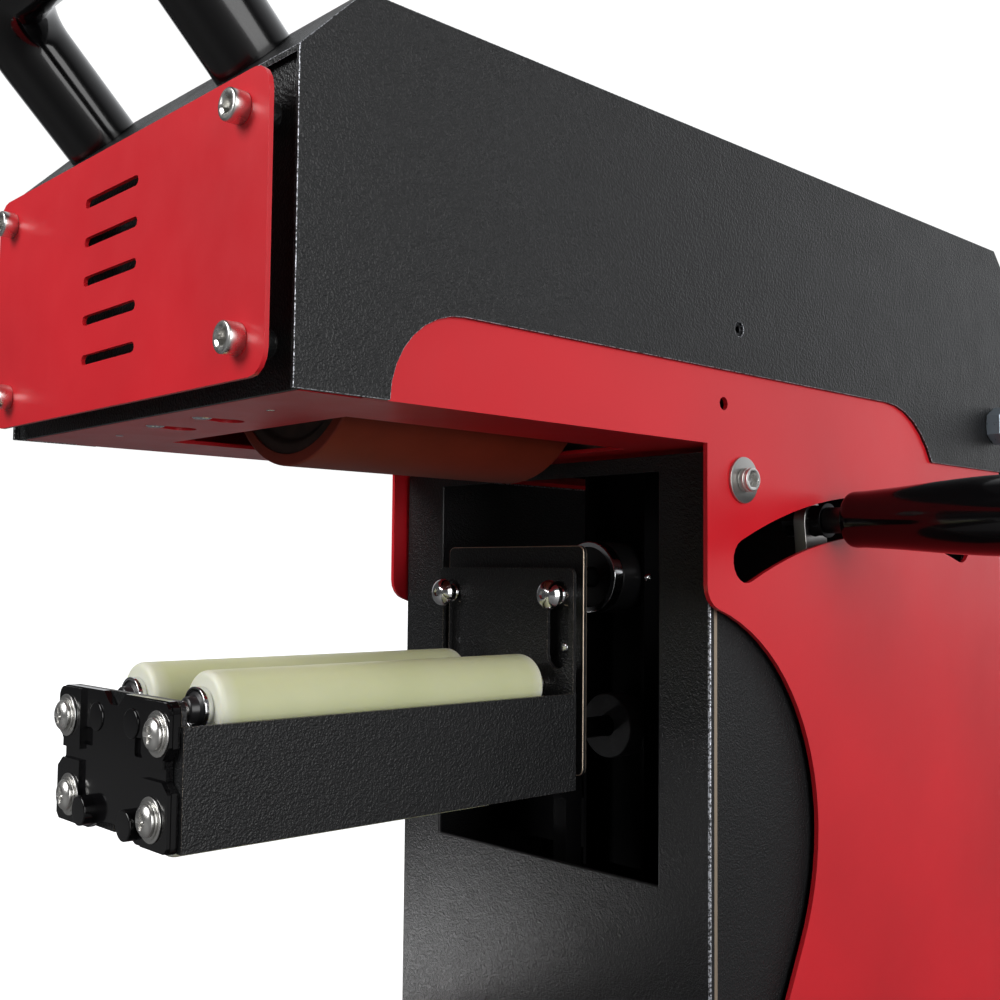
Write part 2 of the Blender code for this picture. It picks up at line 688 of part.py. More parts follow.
def add_drum(add):
    axis = (0, DRUM_Z)
    spin = add.joint("drum_axis", (0, DRUM_FRONT, DRUM_Z))
    inner = DRUM_R - SLEEVE
    sleeve = tube_profile(DRUM_FRONT, DRUM_REAR, inner, DRUM_R)
    add.piece("drum_sleeve", turned_mesh("Y", axis, sleeve, 48), "drum_silicone", spin)
    core = [
        (46 * MM, 0),
        (46 * MM, SHAFT_R),
        (DRUM_FRONT + 1 * MM, SHAFT_R),
        (DRUM_FRONT + 1 * MM, inner - GAP),
        (DRUM_REAR - 1 * MM, inner - GAP),
        (DRUM_REAR - 1 * MM, SHAFT_R),
        (199.5 * MM, SHAFT_R),
        (199.5 * MM, 0),
    ]
    add.piece("drum_core", turned_mesh("Y", axis, core, 32), "steel", spin)
    for name, y in (("front", 50 * MM), ("rear", 190.5 * MM)):
        outline = [(-74 * MM, SHEET + GAP), (74 * MM, SHEET + GAP), (74 * MM, 14 * MM)]
        outline += arc(axis, 24 * MM, 0, pi, 8) + [(-74 * MM, 14 * MM)]
        hole = circle(axis, SHAFT_R + GAP, 24)
        mesh = plate_mesh("XZ", outline, y, y + 3 * MM, [hole])
        add.piece(f"drum_bracket_{name}", mesh, "steel")
    motor = box_mesh((-22 * MM, 200 * MM, SHEET + GAP), (22 * MM, 230 * MM, 55 * MM))
    motor = add.piece("gear_motor", motor, "steel")
    add.join(motor, turned_mesh("Y", axis, rod_profile(229 * MM, 290 * MM, 18 * MM), 24))


# ---------------------------------------------------------------- lever


def cam_outline():
    """A cam that lifts its follower by the same amount for each degree of turn.

    turn is measured back from straight up, in degrees, so the point at turn t comes to the
    top when the lever has moved t degrees forward from rest.
    """
    rise = CAM_RISE / radians(1)
    reach = FOLLOWER_R + GAP
    face = []
    for turn in range(CAM_LOW - 8, CAM_HIGH + 9, 3):
        a = radians(turn)
        pitch = CAM_PITCH + CAM_RISE * turn
        steep = hypot(pitch, rise)
        out = Vector((sin(a), cos(a)))
        along = Vector((cos(a), -sin(a)))
        normal = (out * pitch - along * rise) / steep
        point = out * pitch - normal * reach
        face.append((PIVOT_Y + point.x, PIVOT_Z + point.y))
    hub = 15 * MM
    return face + arc((PIVOT_Y, PIVOT_Z), hub, radians(20), radians(-220), 12)


def add_lever(add):
    pivot = add.joint("lever_pivot", (0, PIVOT_Y, PIVOT_Z))
    axis = (PIVOT_Y, PIVOT_Z)
    shaft = rod_profile(-91.5 * MM, 91.5 * MM, SHAFT_R)
    add.piece("lever_shaft", turned_mesh("X", axis, shaft, 24), "steel", pivot)
    bore = circle(axis, SHAFT_R + GAP, 24)
    add.piece("lift_cam", plate_mesh("YZ", cam_outline(), *CAM_X, [bore]), "steel", pivot)

    top = lever_place(LEVER_REST)
    turn = pi / 2 + LEVER_REST
    outline = arc(top, 8.3 * MM, turn - pi / 2, turn + pi / 2, 8)
    outline += arc(axis, 17 * MM, turn + pi / 2, turn + 3 * pi / 2, 8)
    holes = [bore, circle(top, 5.3 * MM, 12)]
    add.piece("lever_arm", plate_mesh("YZ", outline, ARM_IN, ARM_OUT, holes), "steel", pivot)

    inner_nut, outer_nut = ARM_IN - GAP, ARM_OUT + GAP
    stem = [
        (75 * MM, 0),
        (75 * MM, 8 * MM),
        (inner_nut, 8 * MM),
        (inner_nut, 5 * MM),
        (outer_nut, 5 * MM),
        (outer_nut, 7.2 * MM),
        (95.5 * MM, 7.2 * MM),
        (95.5 * MM, 5 * MM),
        (126 * MM, 5 * MM),
        (126 * MM, 0),
    ]
    add.piece("lever_stem", turned_mesh("X", top, stem, 12), "steel", pivot)
    add.piece("lever_grip", turned_mesh("X", top, grip_profile(), 24), "gloss_black", pivot)


def grip_profile():
    """A moulded grip that swells towards its rounded end, bored for the stem."""
    bore = 5.3 * MM
    deep = 127 * MM
    outline = [(GRIP_START, bore), (GRIP_START, 9 * MM), (GRIP_START + 1 * MM, 11 * MM)]
    outline += [(GRIP_START + 3 * MM, 12 * MM), (130 * MM, 13.2 * MM), (155 * MM, 15 * MM)]
    outline += [(176 * MM, 16.2 * MM), (190 * MM, 16 * MM), (202 * MM, 13.6 * MM)]
    outline += [(209 * MM, 8.5 * MM), (GRIP_END, 2 * MM), (GRIP_END, 0.5 * MM)]
    return outline + [(deep, 0.5 * MM), (deep, bore)]


# ---------------------------------------------------------------- carriage


def add_guide_channel(add):
    """The fixed channel that the carriage's guide wheels run in.

    Its flange hangs from the arm floor. Two ears reach the left wall, and stop short of the
    lever's arm on the right.
    """
    inner, wall = UPPER_WHEEL[0] + GAP, 2 * MM
    front, web, back = 248 * MM, 260 * MM, 262 * MM
    outline = [(-inner - wall, front), (-inner, front), (-inner, web), (inner, web)]
    outline += [(inner, front), (inner + wall, front), (inner + wall, back), (-inner - wall, back)]
    low, high = -190 * MM, -GAP
    channel = add.piece("guide_channel", plate_mesh("XY", outline, low, high), "black_paint")
    reach = CHASSIS_HALF - CHASSIS_WALL - GAP
    inside_lever, ear_height = 58 * MM, 24 * MM
    for ear_bottom in (-186 * MM, -70 * MM):
        ear_low = (-reach, web + 0.5 * MM, ear_bottom)
        ear_high = (inside_lever, back - 0.4 * MM, ear_bottom + ear_height)
        add.join(channel, box_mesh(ear_low, ear_high))
    flange_half, flange_back = 40 * MM, 288 * MM
    flange = box_mesh((-flange_half, web + 0.5 * MM, high - wall), (flange_half, flange_back, high))
    add.join(channel, flange)


def add_carriage(add):
    """Lifted by the cam and guided by two wheels, it carries the tray."""
    lift = add.joint("carriage_slide", (0, CARRIAGE_BACK, WHEELS_Z[1]))
    outline = rounded_rectangle((-TRAY_HALF, -134 * MM), (TRAY_HALF, -39.4 * MM), 3 * MM, 3)
    holes = [circle((x, CLAMP_Z), 4.3 * MM, 16) for x in (-CLAMP_X, CLAMP_X)]
    mesh = plate_mesh("XZ", outline, CARRIAGE_FRONT, CARRIAGE_BACK, holes)
    add.piece("carriage_plate", mesh, "black_paint", lift)

    follower = (PIVOT_Y, PIVOT_Z + CAM_PITCH)
    spine = [
        (CARRIAGE_BACK + GAP, -44 * MM),
        (CARRIAGE_BACK + GAP, -134 * MM),
        (212 * MM, -152 * MM),
        (212 * MM, -237 * MM),
        (218 * MM, -245 * MM),
        (330 * MM, -242 * MM),
        (336 * MM, -230 * MM),
        (330 * MM, -218 * MM),
        (226 * MM, -214 * MM),
        (222 * MM, -206 * MM),
        (222 * MM, -44 * MM),
    ]
    spine_half = 4 * MM
    mesh = plate_mesh("YZ", spine, -spine_half, spine_half)
    made = add.piece("lift_spine", mesh, "steel", lift)
    pin = rod_profile(0, CAM_X[1] + 1.5 * MM, STUD_R)
    add.join(made, turned_mesh("X", follower, pin, 16))
    for z in WHEELS_Z:
        axle = rod_profile(215 * MM, WHEEL_BACK + 1 * MM, 4.7 * MM)
        add.join(made, turned_mesh("Y", (0, z), axle, 16))

    wheels = (("upper", UPPER_WHEEL, "chrome"), ("lower", LOWER_WHEEL, "rubber"))
    for (name, (radius, front), slot), z in zip(wheels, WHEELS_Z):
        spin = add.joint(f"guide_wheel_{name}_axis", (0, WHEEL_AXIS_Y, z), lift)
        wheel = tube_profile(front, WHEEL_BACK, 5 * MM, radius)
        add.piece(f"guide_wheel_{name}", turned_mesh("Y", (0, z), wheel, 32), slot, spin)
    spin = add.joint("cam_follower_axis", (CAM_X[0], *follower), lift)
    roller = tube_profile(CAM_X[0], CAM_X[1], STUD_R + GAP, FOLLOWER_R)
    add.piece("cam_follower", turned_mesh("X", follower, roller, 32), "steel", spin)

    front = TRAY_BACK - 2 * MM
    for name, side in SIDES:
        bolt = [(CARRIAGE_BACK + 3 * MM, 0), (CARRIAGE_BACK + 3 * MM, STUD_R), (front, STUD_R)]
        bolt += [(front - 0.5 * MM, 3.4 * MM), (front - 3.8 * MM, 3.4 * MM)]
        bolt += [(front - 4.6 * MM, 5.8 * MM), (front - 5.5 * MM, 6.3 * MM)]
        bolt += [(front - 7.2 * MM, 5.6 * MM), (front - 8.8 * MM, 3.4 * MM), (front - 9.4 * MM, 0)]
        mesh = turned_mesh("Y", (side * CLAMP_X, CLAMP_Z), bolt, 16)
        add.piece(f"clamp_bolt_{name}", mesh, "chrome", lift)
    return lift


# ---------------------------------------------------------------- tray and rollers

ROLLERS = (
    ("left", -ROLLER_X, ROLLER_Z),
    ("right", ROLLER_X, ROLLER_Z),
    ("lower", 0.0, LOWER_ROLLER_Z),
)
CAP_SCREWS = [
    (side * x * MM, z * MM) for side in (-1, 1) for x, z in ((33.2, -102.5), (29.8, -129.6))
]
CAP_BOSSES = ((12.9 * MM, -101.3 * MM, 5 * MM, -2.6 * MM), (16.5 * MM, -133.1 * MM, 5.1 * MM, -6.2 * MM))


def add_tray(add, lift):
    """An open frame: two rails, a front wall and a tall back plate with the clamp slots."""
    slide = add.joint("tray_slide", (0, TRAY_BACK, CLAMP_Z), lift)
    wall = 2 * MM
    front, half = 0.6 * MM, TRAY_HALF
    mesh = box_mesh((-half, front, TRAY_BOTTOM), (half, TRAY_BACK, TRAY_TOP))
    tray = add.piece("tray", mesh, "black_paint", slide)
    low = (-half + wall, front + wall, TRAY_BOTTOM - BEYOND)
    high = (half - wall, TRAY_BACK - wall, TRAY_TOP + BEYOND)
    add.cut(tray, box_mesh(low, high))
    for name, side in SIDES:
        inner = side * (half - 11 * MM)
        outer = side * (half - 1 * MM)
        flange_low = (min(inner, outer), front + 1 * MM, TRAY_BOTTOM)
        flange_high = (max(inner, outer), TRAY_BACK - 1 * MM, TRAY_BOTTOM + wall)
        add.join(tray, box_mesh(flange_low, flange_high))
    back = rounded_rectangle((-half, TRAY_BOTTOM + 1 * MM), (half, TRAY_BACK_TOP), 3 * MM, 3)
    slots = [
        straight_slot((x, CLAMP_Z - CLAMP_TRAVEL - 0.5 * MM), (x, CLAMP_Z), CLAMP_SLOT_R)
        for x in (-CLAMP_X, CLAMP_X)
    ]
    add.join(tray, plate_mesh("XZ", back, TRAY_BACK - wall, TRAY_BACK - GAP, slots))
    wall_top = rounded_rectangle((-CAP_HALF, TRAY_BOTTOM + 1 * MM), (CAP_HALF, CAP_TOP), 4 * MM, 3)
    add.join(tray, plate_mesh("XZ", wall_top, front + 0.1 * MM, front + wall - 0.1 * MM))
    for _, x, z in ROLLERS:
        bore = rod_profile(-BEYOND, TRAY_BACK + BEYOND, AXLE_R + GAP)
        add.cut(tray, turned_mesh("Y", (x, z), bore, 16))

    add_end_cap(add, tray, slide)
    for name, x, z in ROLLERS:
        spin = add.joint(f"roller_{name}_axis", (x, ROLLER_FRONT, z), slide)
        inner = AXLE_R + 3 * MM
        sleeve = [(ROLLER_FRONT, inner), (ROLLER_FRONT, ROLLER_R - 3 * MM)]
        sleeve += [(ROLLER_FRONT + 1.2 * MM, ROLLER_R - 0.8 * MM), (ROLLER_FRONT + 3 * MM, ROLLER_R)]
        sleeve += [(ROLLER_REAR - 3 * MM, ROLLER_R), (ROLLER_REAR - 1.2 * MM, ROLLER_R - 0.8 * MM)]
        sleeve += [(ROLLER_REAR, ROLLER_R - 3 * MM), (ROLLER_REAR, inner)]
        mesh = turned_mesh("Y", (x, z), sleeve, 32)
        add.piece(f"roller_{name}", mesh, "roller_silicone", spin)
        axle = [(0.8 * MM, 0), (0.8 * MM, AXLE_R), (ROLLER_FRONT - 2 * MM, AXLE_R)]
        axle += [(ROLLER_FRONT - 2 * MM, inner - GAP), (ROLLER_REAR + 2 * MM, inner - GAP)]
        axle += [(ROLLER_REAR + 2 * MM, AXLE_R), (TRAY_BACK, AXLE_R), (TRAY_BACK, 0)]
        add.piece(f"roller_axle_{name}", turned_mesh("Y", (x, z), axle, 16), "steel", spin)


def cap_outline():
    """A plate with a notch in its top and each side, and a shallow arch under its middle."""
    half, top, low = CAP_HALF, CAP_TOP, CAP_BOTTOM
    span, rise = 17.3 * MM, 4 * MM
    arch = (span**2 + rise**2) / (2 * rise)
    top_r, low_r = 4 * MM, 2.5 * MM
    right = arc((0, low + rise - arch), arch, pi / 2, acos(span / arch), 4)
    right += arc((half - low_r, low + low_r), low_r, -pi / 2, 0, 3)
    right += side_notch(half)
    right += arc((half - top_r, top - top_r), top_r, 0, pi / 2, 3)
    right += [(8 * MM, top), (3 * MM, top - 4.2 * MM)]
    return right + [(-u, v) for u, v in reversed(right) if u > 0]


def side_notch(edge):
    """The notch in the cap's right edge, from its lower end to its upper end."""
    deep = edge - 4 * MM
    return [(edge, -120.3 * MM), (deep, -117 * MM), (deep, -111 * MM), (edge, -106.6 * MM)]


def pad_outlines():
    """The cap's raised right corners, set in from its edges, for its screws to stand on."""
    inset, inner = 0.4 * MM, 23 * MM
    edge, top, low = CAP_HALF - inset, CAP_TOP - inset, CAP_BOTTOM + inset
    lower_end, below, above, upper_end = side_notch(edge)
    lower = [(inner, low), (edge - 2 * MM, low), (edge, low + 2 * MM)]
    lower += [(edge, lower_end[1] - inset), (below[0], below[1] - inset), (inner, below[1] - inset)]
    rest = above[1] - 2.4 * MM
    upper = [(inner, rest), (above[0], rest), (above[0], above[1] + inset)]
    upper += [(edge, upper_end[1] + inset)]
    upper += arc((edge - 4 * MM, top - 4 * MM), 4 * MM, 0, pi / 2, 3) + [(inner, top)]
    return lower, upper


def add_end_cap(add, tray, slide):
    """The cap over the tray's front wall. Four screws through its pads hold it on."""
    hole_r, washer = 2.6 * MM, PAD_FACE - GAP
    cap = add.piece("end_cap", plate_mesh("XZ", cap_outline(), CAP_FACE, GAP), "gloss_black", slide)
    for side in (-1, 1):
        for pad in pad_outlines():
            outline = [(side * u, v) for u, v in pad]
            add.join(cap, plate_mesh("XZ", outline, PAD_FACE, CAP_FACE + 0.5 * MM))
        for x, z, radius, face in CAP_BOSSES:
            boss = rod_profile(face, CAP_FACE + 0.6 * MM, radius)
            add.join(cap, turned_mesh("Y", (side * x, z), boss, 20))
    for number, place in enumerate(CAP_SCREWS, 1):
        hole = rod_profile(-BEYOND, 6 * MM, hole_r)
        add.cut(cap, turned_mesh("Y", place, hole, 10))
        add.cut(tray, turned_mesh("Y", place, hole, 10))
        head = [(3 * MM, 0), (3 * MM, 2.2 * MM), (washer, 2.2 * MM), (washer, 7.3 * MM)]
        head += [(washer - 0.7 * MM, 7.3 * MM), (washer - 0.8 * MM, 6 * MM)]
        head += [(washer - 1.4 * MM, 6 * MM), (washer - 1.5 * MM, 5.3 * MM)]
        head += [(washer - 2.6 * MM, 4.4 * MM), (washer - 3.2 * MM, 2.4 * MM), (washer - 3.3 * MM, 0)]
        add.piece(f"cap_screw_{number}", turned_mesh("Y", place, head, 16), "chrome", slide)


def main():
    for old in list(bpy.data.objects):
        bpy.data.objects.remove(old)
    add = Assembly()
    add_chassis(add)
    add_side_panels(add)
    add_base(add)
    add_rear(add)
    add_arm(add)
    add_hood(add)
    add_carry_handle(add)
    add_control_panel(add)
    add_drum(add)
    add_guide_channel(add)
    add_lever(add)
    lift = add_carriage(add)
    add_tray(add, lift)
    bpy.context.view_layer.update()


main()
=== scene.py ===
"""The looks of a bench heat press for bottles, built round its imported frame.

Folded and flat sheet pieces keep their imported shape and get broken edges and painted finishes.
Turned, moulded and fastening pieces are built finer here, and ride on the same bodies.

Places are written in the head frame, in millimetres: x from the mid-plane (the lever is at
+x), y back from the hood's front edge, z up from the underside of the head.
"""

import json
from math import acos, cos, pi, radians, sin, sqrt

import bmesh
import bpy
from mathutils import Matrix, Vector


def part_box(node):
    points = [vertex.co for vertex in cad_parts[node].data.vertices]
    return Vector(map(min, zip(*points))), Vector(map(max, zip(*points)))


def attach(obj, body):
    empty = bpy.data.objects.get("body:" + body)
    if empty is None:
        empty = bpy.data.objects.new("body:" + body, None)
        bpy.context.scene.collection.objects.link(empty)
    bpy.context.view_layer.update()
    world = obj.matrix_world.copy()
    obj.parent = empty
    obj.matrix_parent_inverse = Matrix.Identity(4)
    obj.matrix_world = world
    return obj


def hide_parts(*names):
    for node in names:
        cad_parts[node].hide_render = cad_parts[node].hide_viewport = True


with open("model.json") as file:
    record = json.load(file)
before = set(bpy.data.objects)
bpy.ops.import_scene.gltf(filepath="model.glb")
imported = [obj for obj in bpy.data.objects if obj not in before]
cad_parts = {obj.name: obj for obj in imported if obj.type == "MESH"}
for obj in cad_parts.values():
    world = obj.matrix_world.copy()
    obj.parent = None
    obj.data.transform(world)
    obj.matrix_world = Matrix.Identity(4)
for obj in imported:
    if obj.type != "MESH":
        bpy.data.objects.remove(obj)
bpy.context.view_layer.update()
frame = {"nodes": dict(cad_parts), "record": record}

MM = 0.001
HEAD = Vector((0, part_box("hood")[0].y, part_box("arm_floor")[0].z))
BODY_OF = {n: b for b, ns in frame["record"]["behaviour"]["bodies"].items() for n in ns}
X = Vector((1, 0, 0))
Y = Vector((0, 1, 0))
Z = Vector((0, 0, 1))
SIDES = (("right", 1), ("left", -1))
COLUMN_FRONT = 198.4


def place(x, y, z):
    """The world point at a place in the head frame."""
    return HEAD + Vector((x, y, z)) * MM


def middle(node):
    low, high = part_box(node)
    return (low + high) / 2


def in_head(point):
    """A world point in the head frame, in millimetres."""
    return (Vector(point) - HEAD) / MM


# ---------------------------------------------------------------- finishes


class Finish:
    """One procedural material, with its textures laid out in the piece's own space."""

    def __init__(self, name, colour, roughness, metallic=0.0):
        self.made = bpy.data.materials.new(name)
        self.made.use_nodes = True
        self.tree = self.made.node_tree
        self.shader = self.tree.nodes["Principled BSDF"]
        self.where = self.node("ShaderNodeTexCoord").outputs["Object"]
        self.set("Base Color", (*colour, 1.0))
        self.set("Roughness", roughness)
        self.set("Metallic", metallic)

    def node(self, kind, settings=None, inputs=None):
        made = self.tree.nodes.new(kind)
        for key, value in (settings or {}).items():
            setattr(made, key, value)
        for key, value in (inputs or {}).items():
            self.feed(made.inputs[key], value)
        return made

    def feed(self, socket, value):
        if isinstance(value, bpy.types.NodeSocket):
            self.tree.links.new(value, socket)
        else:
            socket.default_value = value

    def set(self, name, value):
        self.feed(self.shader.inputs[name], value)
        return self

    def noise(self, scale, detail=3.0, roughness=0.55, stretch=None):
        where = self.where
        if stretch:
            where = self.node("ShaderNodeMapping", None, {"Vector": where, "Scale": stretch}).outputs[0]
        inputs = {"Vector": where, "Scale": scale, "Detail": detail, "Roughness": roughness}
        return self.node("ShaderNodeTexNoise", None, inputs).outputs["Fac"]

    def cells(self, scale):
        inputs = {"Vector": self.where, "Scale": scale}
        return self.node("ShaderNodeTexVoronoi", None, inputs).outputs["Distance"]

    def ramp(self, factor, stops):
        """Colours or greys along a factor."""
        made = self.node("ShaderNodeValToRGB", None, {"Fac": factor})
        bar = made.color_ramp.elements
        while len(bar) < len(stops):
            bar.new(0.5)
        for mark, (spot, value) in zip(bar, stops):
            mark.position = spot
            mark.color = (*value, 1.0) if isinstance(value, tuple) else (value, value, value, 1.0)
        return made.outputs["Color"]

    def maths(self, kind, first, second=0.0, third=0.0):
        inputs = {0: first, 1: second, 2: third}
        return self.node("ShaderNodeMath", {"operation": kind}, inputs).outputs[0]

    def blend(self, factor, first, second):
        made = self.node("ShaderNodeMix", {"data_type": "RGBA"})
        self.feed(made.inputs[0], factor)
        self.feed(made.inputs[6], first)
        self.feed(made.inputs[7], second)
        return made.outputs[2]

    def axis(self, name):
        return self.node("ShaderNodeSeparateXYZ", None, {"Vector": self.where}).outputs[name]

    def rise(self, value, start, end):
        """0 before start, 1 after end."""
        made = self.node("ShaderNodeMapRange", {"clamp": True}, {"Value": value, 1: start, 2: end})
        return made.outputs[0]

    def bump(self, height, strength, depth_mm):
        inputs = {"Height": height, "Strength": strength, "Distance": depth_mm * MM}
        if self.shader.inputs["Normal"].is_linked:
            inputs["Normal"] = self.shader.inputs["Normal"].links[0].from_socket
        self.set("Normal", self.node("ShaderNodeBump", None, inputs).outputs[0])
        return self


def tinted(colour, share):
    return tuple(channel * share for channel in colour)


def paint(name, colour, roughness, grain_mm, depth_mm, strength, fleck=0.0):
    """Powder coat: a fine leathery grain, uneven gloss and slow changes of tone."""
    made = Finish(name, colour, roughness)
    slow = made.noise(9, 2)
    made.set("Base Color", made.ramp(slow, [(0.3, tinted(colour, 0.9)), (0.7, tinted(colour, 1.1))]))
    grain = made.noise(1 / (grain_mm * MM), 2.5, 0.6)
    uneven = made.noise(60, 3)
    made.set("Roughness", made.maths("MULTIPLY_ADD", uneven, 0.16, roughness - 0.08))
    made.bump(grain, strength, depth_mm)
    if fleck:
        tiny = made.cells(1 / (grain_mm * MM * 0.6))
        made.bump(tiny, fleck, depth_mm)
    return made


def wrinkle_black(name="wrinkle_black", share=1.0):
    # A share below 1 makes a darker copy of this paint: painted shade.
    made = paint(name, tinted((0.0095, 0.0098, 0.0105), share), 0.38, 1.2, 0.5, 0.75, 0.35)
    return made.set("Specular IOR Level", 0.36)


def painted_shade_black():
    """Painted shade: a near-black finish that gives back next to no light, standing in for the shade deep
    inside the column.
    """
    return paint("painted_shade_black", (0.004, 0.004, 0.0045), 0.75, 1.5, 0.1, 0.3).set("Specular IOR Level", 0.08)


def satin_red():
    made = paint("satin_red", (0.7, 0.011, 0.021), 0.36, 1.5, 0.05, 0.35, 0.08)
    return made.set("Coat Weight", 0.25).set("Coat Roughness", 0.22)


def worn_and_glint_edge(name, colour, speck_colour, share, grain_mm=0.7, beyond=0.0):
    """A paint edge with specks: bare metal showing through, and on the column's corners painted highlight
    for glints on the paint's grain.

    With beyond, a distance in metres, the specks keep further than that from the mid-plane.
    """
    made = Finish(name, colour, 0.35)
    patches = made.noise(1 / (grain_mm * MM), 3, 0.7)
    speck = made.ramp(patches, [(0.94 - share, 0.0), (1.06 - share, 1.0)])
    if beyond:
        aside = made.maths("ABSOLUTE", made.axis("X"))
        speck = made.maths("MULTIPLY", speck, made.rise(aside, beyond, beyond + 1 * MM))
    made.set("Base Color", made.blend(speck, (*colour, 1.0), (*speck_colour, 1.0)))
    made.set("Metallic", made.maths("MULTIPLY", speck, 0.8))
    made.bump(made.noise(1500, 2), 0.5, 0.08)
    return made


def bright_metal(name, colour, roughness, turning=0.0, grain=0.06):
    """Plated or bare metal, with handling marks and, on turned pieces, fine tool rings."""
    made = Finish(name, colour, roughness, 1.0)
    smear = made.noise(140, 4, 0.6)
    made.set("Roughness", made.maths("MULTIPLY_ADD", smear, 0.14, roughness - 0.06))
    tone = made.noise(35, 3)
    made.set("Base Color", made.ramp(tone, [(0.3, tinted(colour, 0.86)), (0.7, tinted(colour, 1.0))]))
    made.bump(made.noise(2200, 2), grain, 0.03)
    if turning:
        made.bump(made.noise(900, 2, 0.5, (0.1, 1.0, 1.0)), turning, 0.03)
    return made


def gloss_black(name="gloss_black"):
    made = Finish(name, (0.003, 0.0028, 0.0032), 0.16)
    made.set("Coat Weight", 0.25).set("Coat Roughness", 0.05).set("Specular IOR Level", 0.35)
    smear = made.ramp(made.noise(28, 4), [(0.35, 0.1), (0.7, 0.2)])
    made.set("Roughness", smear)
    made.bump(made.noise(160, 2), 0.05, 0.2)
    return made.bump(made.noise(1800, 1), 0.05, 0.03)


def moulded_black():
    made = Finish("moulded_black", (0.014, 0.014, 0.015), 0.34)
    made.set("Roughness", made.ramp(made.noise(45, 3), [(0.3, 0.28), (0.7, 0.42)]))
    return made.bump(made.noise(1300, 2), 0.18, 0.05)


def passivated():
    """Grey-green coating on nuts, duller than the plated screws."""
    made = Finish("passivated", (0.2, 0.215, 0.185), 0.36, 0.35)
    tones = [(0.3, (0.17, 0.185, 0.155)), (0.7, (0.24, 0.255, 0.22))]
    made.set("Base Color", made.ramp(made.noise(80, 3), tones))
    return made.bump(made.noise(1500, 2), 0.15, 0.04)


def soft_rubber(name="rubber", colour=(0.022, 0.022, 0.024)):
    made = Finish(name, colour, 0.7)
    dust = made.ramp(made.noise(90, 5, 0.65), [(0.45, tinted(colour, 0.9)), (0.8, tinted(colour, 2.2))])
    made.set("Base Color", dust)
    return made.bump(made.noise(700, 3), 0.3, 0.08)


def drum_silicone():
    """Heat-cured red-brown silicone: matt, faintly mottled and wrapped in fine lines."""
    made = Finish("drum_silicone", (0.2, 0.021, 0.007), 0.5)
    mottle = made.noise(30, 4, 0.6)
    made.set("Base Color", made.ramp(mottle, [(0.3, (0.18, 0.018, 0.006)), (0.72, (0.23, 0.025, 0.009))]))
    made.set("Sheen Weight", 0.03)
    made.set("Specular IOR Level", 0.3)
    made.bump(made.noise(1000, 2, 0.5, (1.0, 0.2, 1.0)), 0.16, 0.05)
    return made.bump(made.noise(60, 3), 0.1, 0.3)


def roller_silicone(start, end):
    """Pale translucent silicone, painted whiter towards the rounded ends at y start and end: painted light,
    for light showing through the thin ends.
    """
    made = Finish("roller_silicone", (0.66, 0.68, 0.42), 0.42)
    # Painted light: the whiter ends stand in for light showing through the thin rounded silicone.
    along = made.axis("Y")
    fade = 7 * MM
    near = made.rise(along, start + fade, start)
    far = made.rise(along, end - fade, end)
    ends = made.maths("MAXIMUM", near, far)
    body = made.ramp(made.noise(24, 3), [(0.3, (0.63, 0.66, 0.385)), (0.7, (0.69, 0.71, 0.44))])
    made.set("Base Color", made.blend(ends, body, (0.78, 0.79, 0.66, 1.0)))
    made.set("Subsurface Weight", 0.35)
    made.set("Subsurface Radius", (1.0, 0.9, 0.5))
    made.set("Subsurface Scale", 4 * MM)
    made.bump(made.noise(800, 2, 0.5, (1.0, 0.25, 1.0)), 0.1, 0.04)
    return made.bump(made.noise(40, 3), 0.08, 0.2)


def glass_window():
    made = Finish("display_glass", (0.012, 0.016, 0.02), 0.06)
    made.set("Coat Weight", 1.0).set("Coat Roughness", 0.03)
    made.set("Roughness", made.ramp(made.noise(70, 4), [(0.4, 0.05), (0.75, 0.14)]))
    return made.bump(made.noise(30, 2), 0.03, 0.1)


def lit_digit():
    made = Finish("display_digit", (0.5, 0.03, 0.02), 0.3)
    glow = made.ramp(made.noise(900, 1), [(0.2, (0.8, 0.05, 0.03)), (0.8, (1.0, 0.1, 0.06))])
    return made.set("Emission Color", glow).set("Emission Strength", 1.2)


def button_cap():
    made = Finish("button_cap", (0.6, 0.6, 0.58), 0.42)
    tones = [(0.3, (0.55, 0.55, 0.53)), (0.7, (0.64, 0.64, 0.62))]
    made.set("Base Color", made.ramp(made.noise(60, 4), tones))
    return made.bump(made.noise(1600, 2), 0.15, 0.04)


PALE_SPECK = (0.72, 0.74, 0.8)
RUSTY = (0.62, 0.5, 0.38)
DARK = (0.012, 0.012, 0.013)

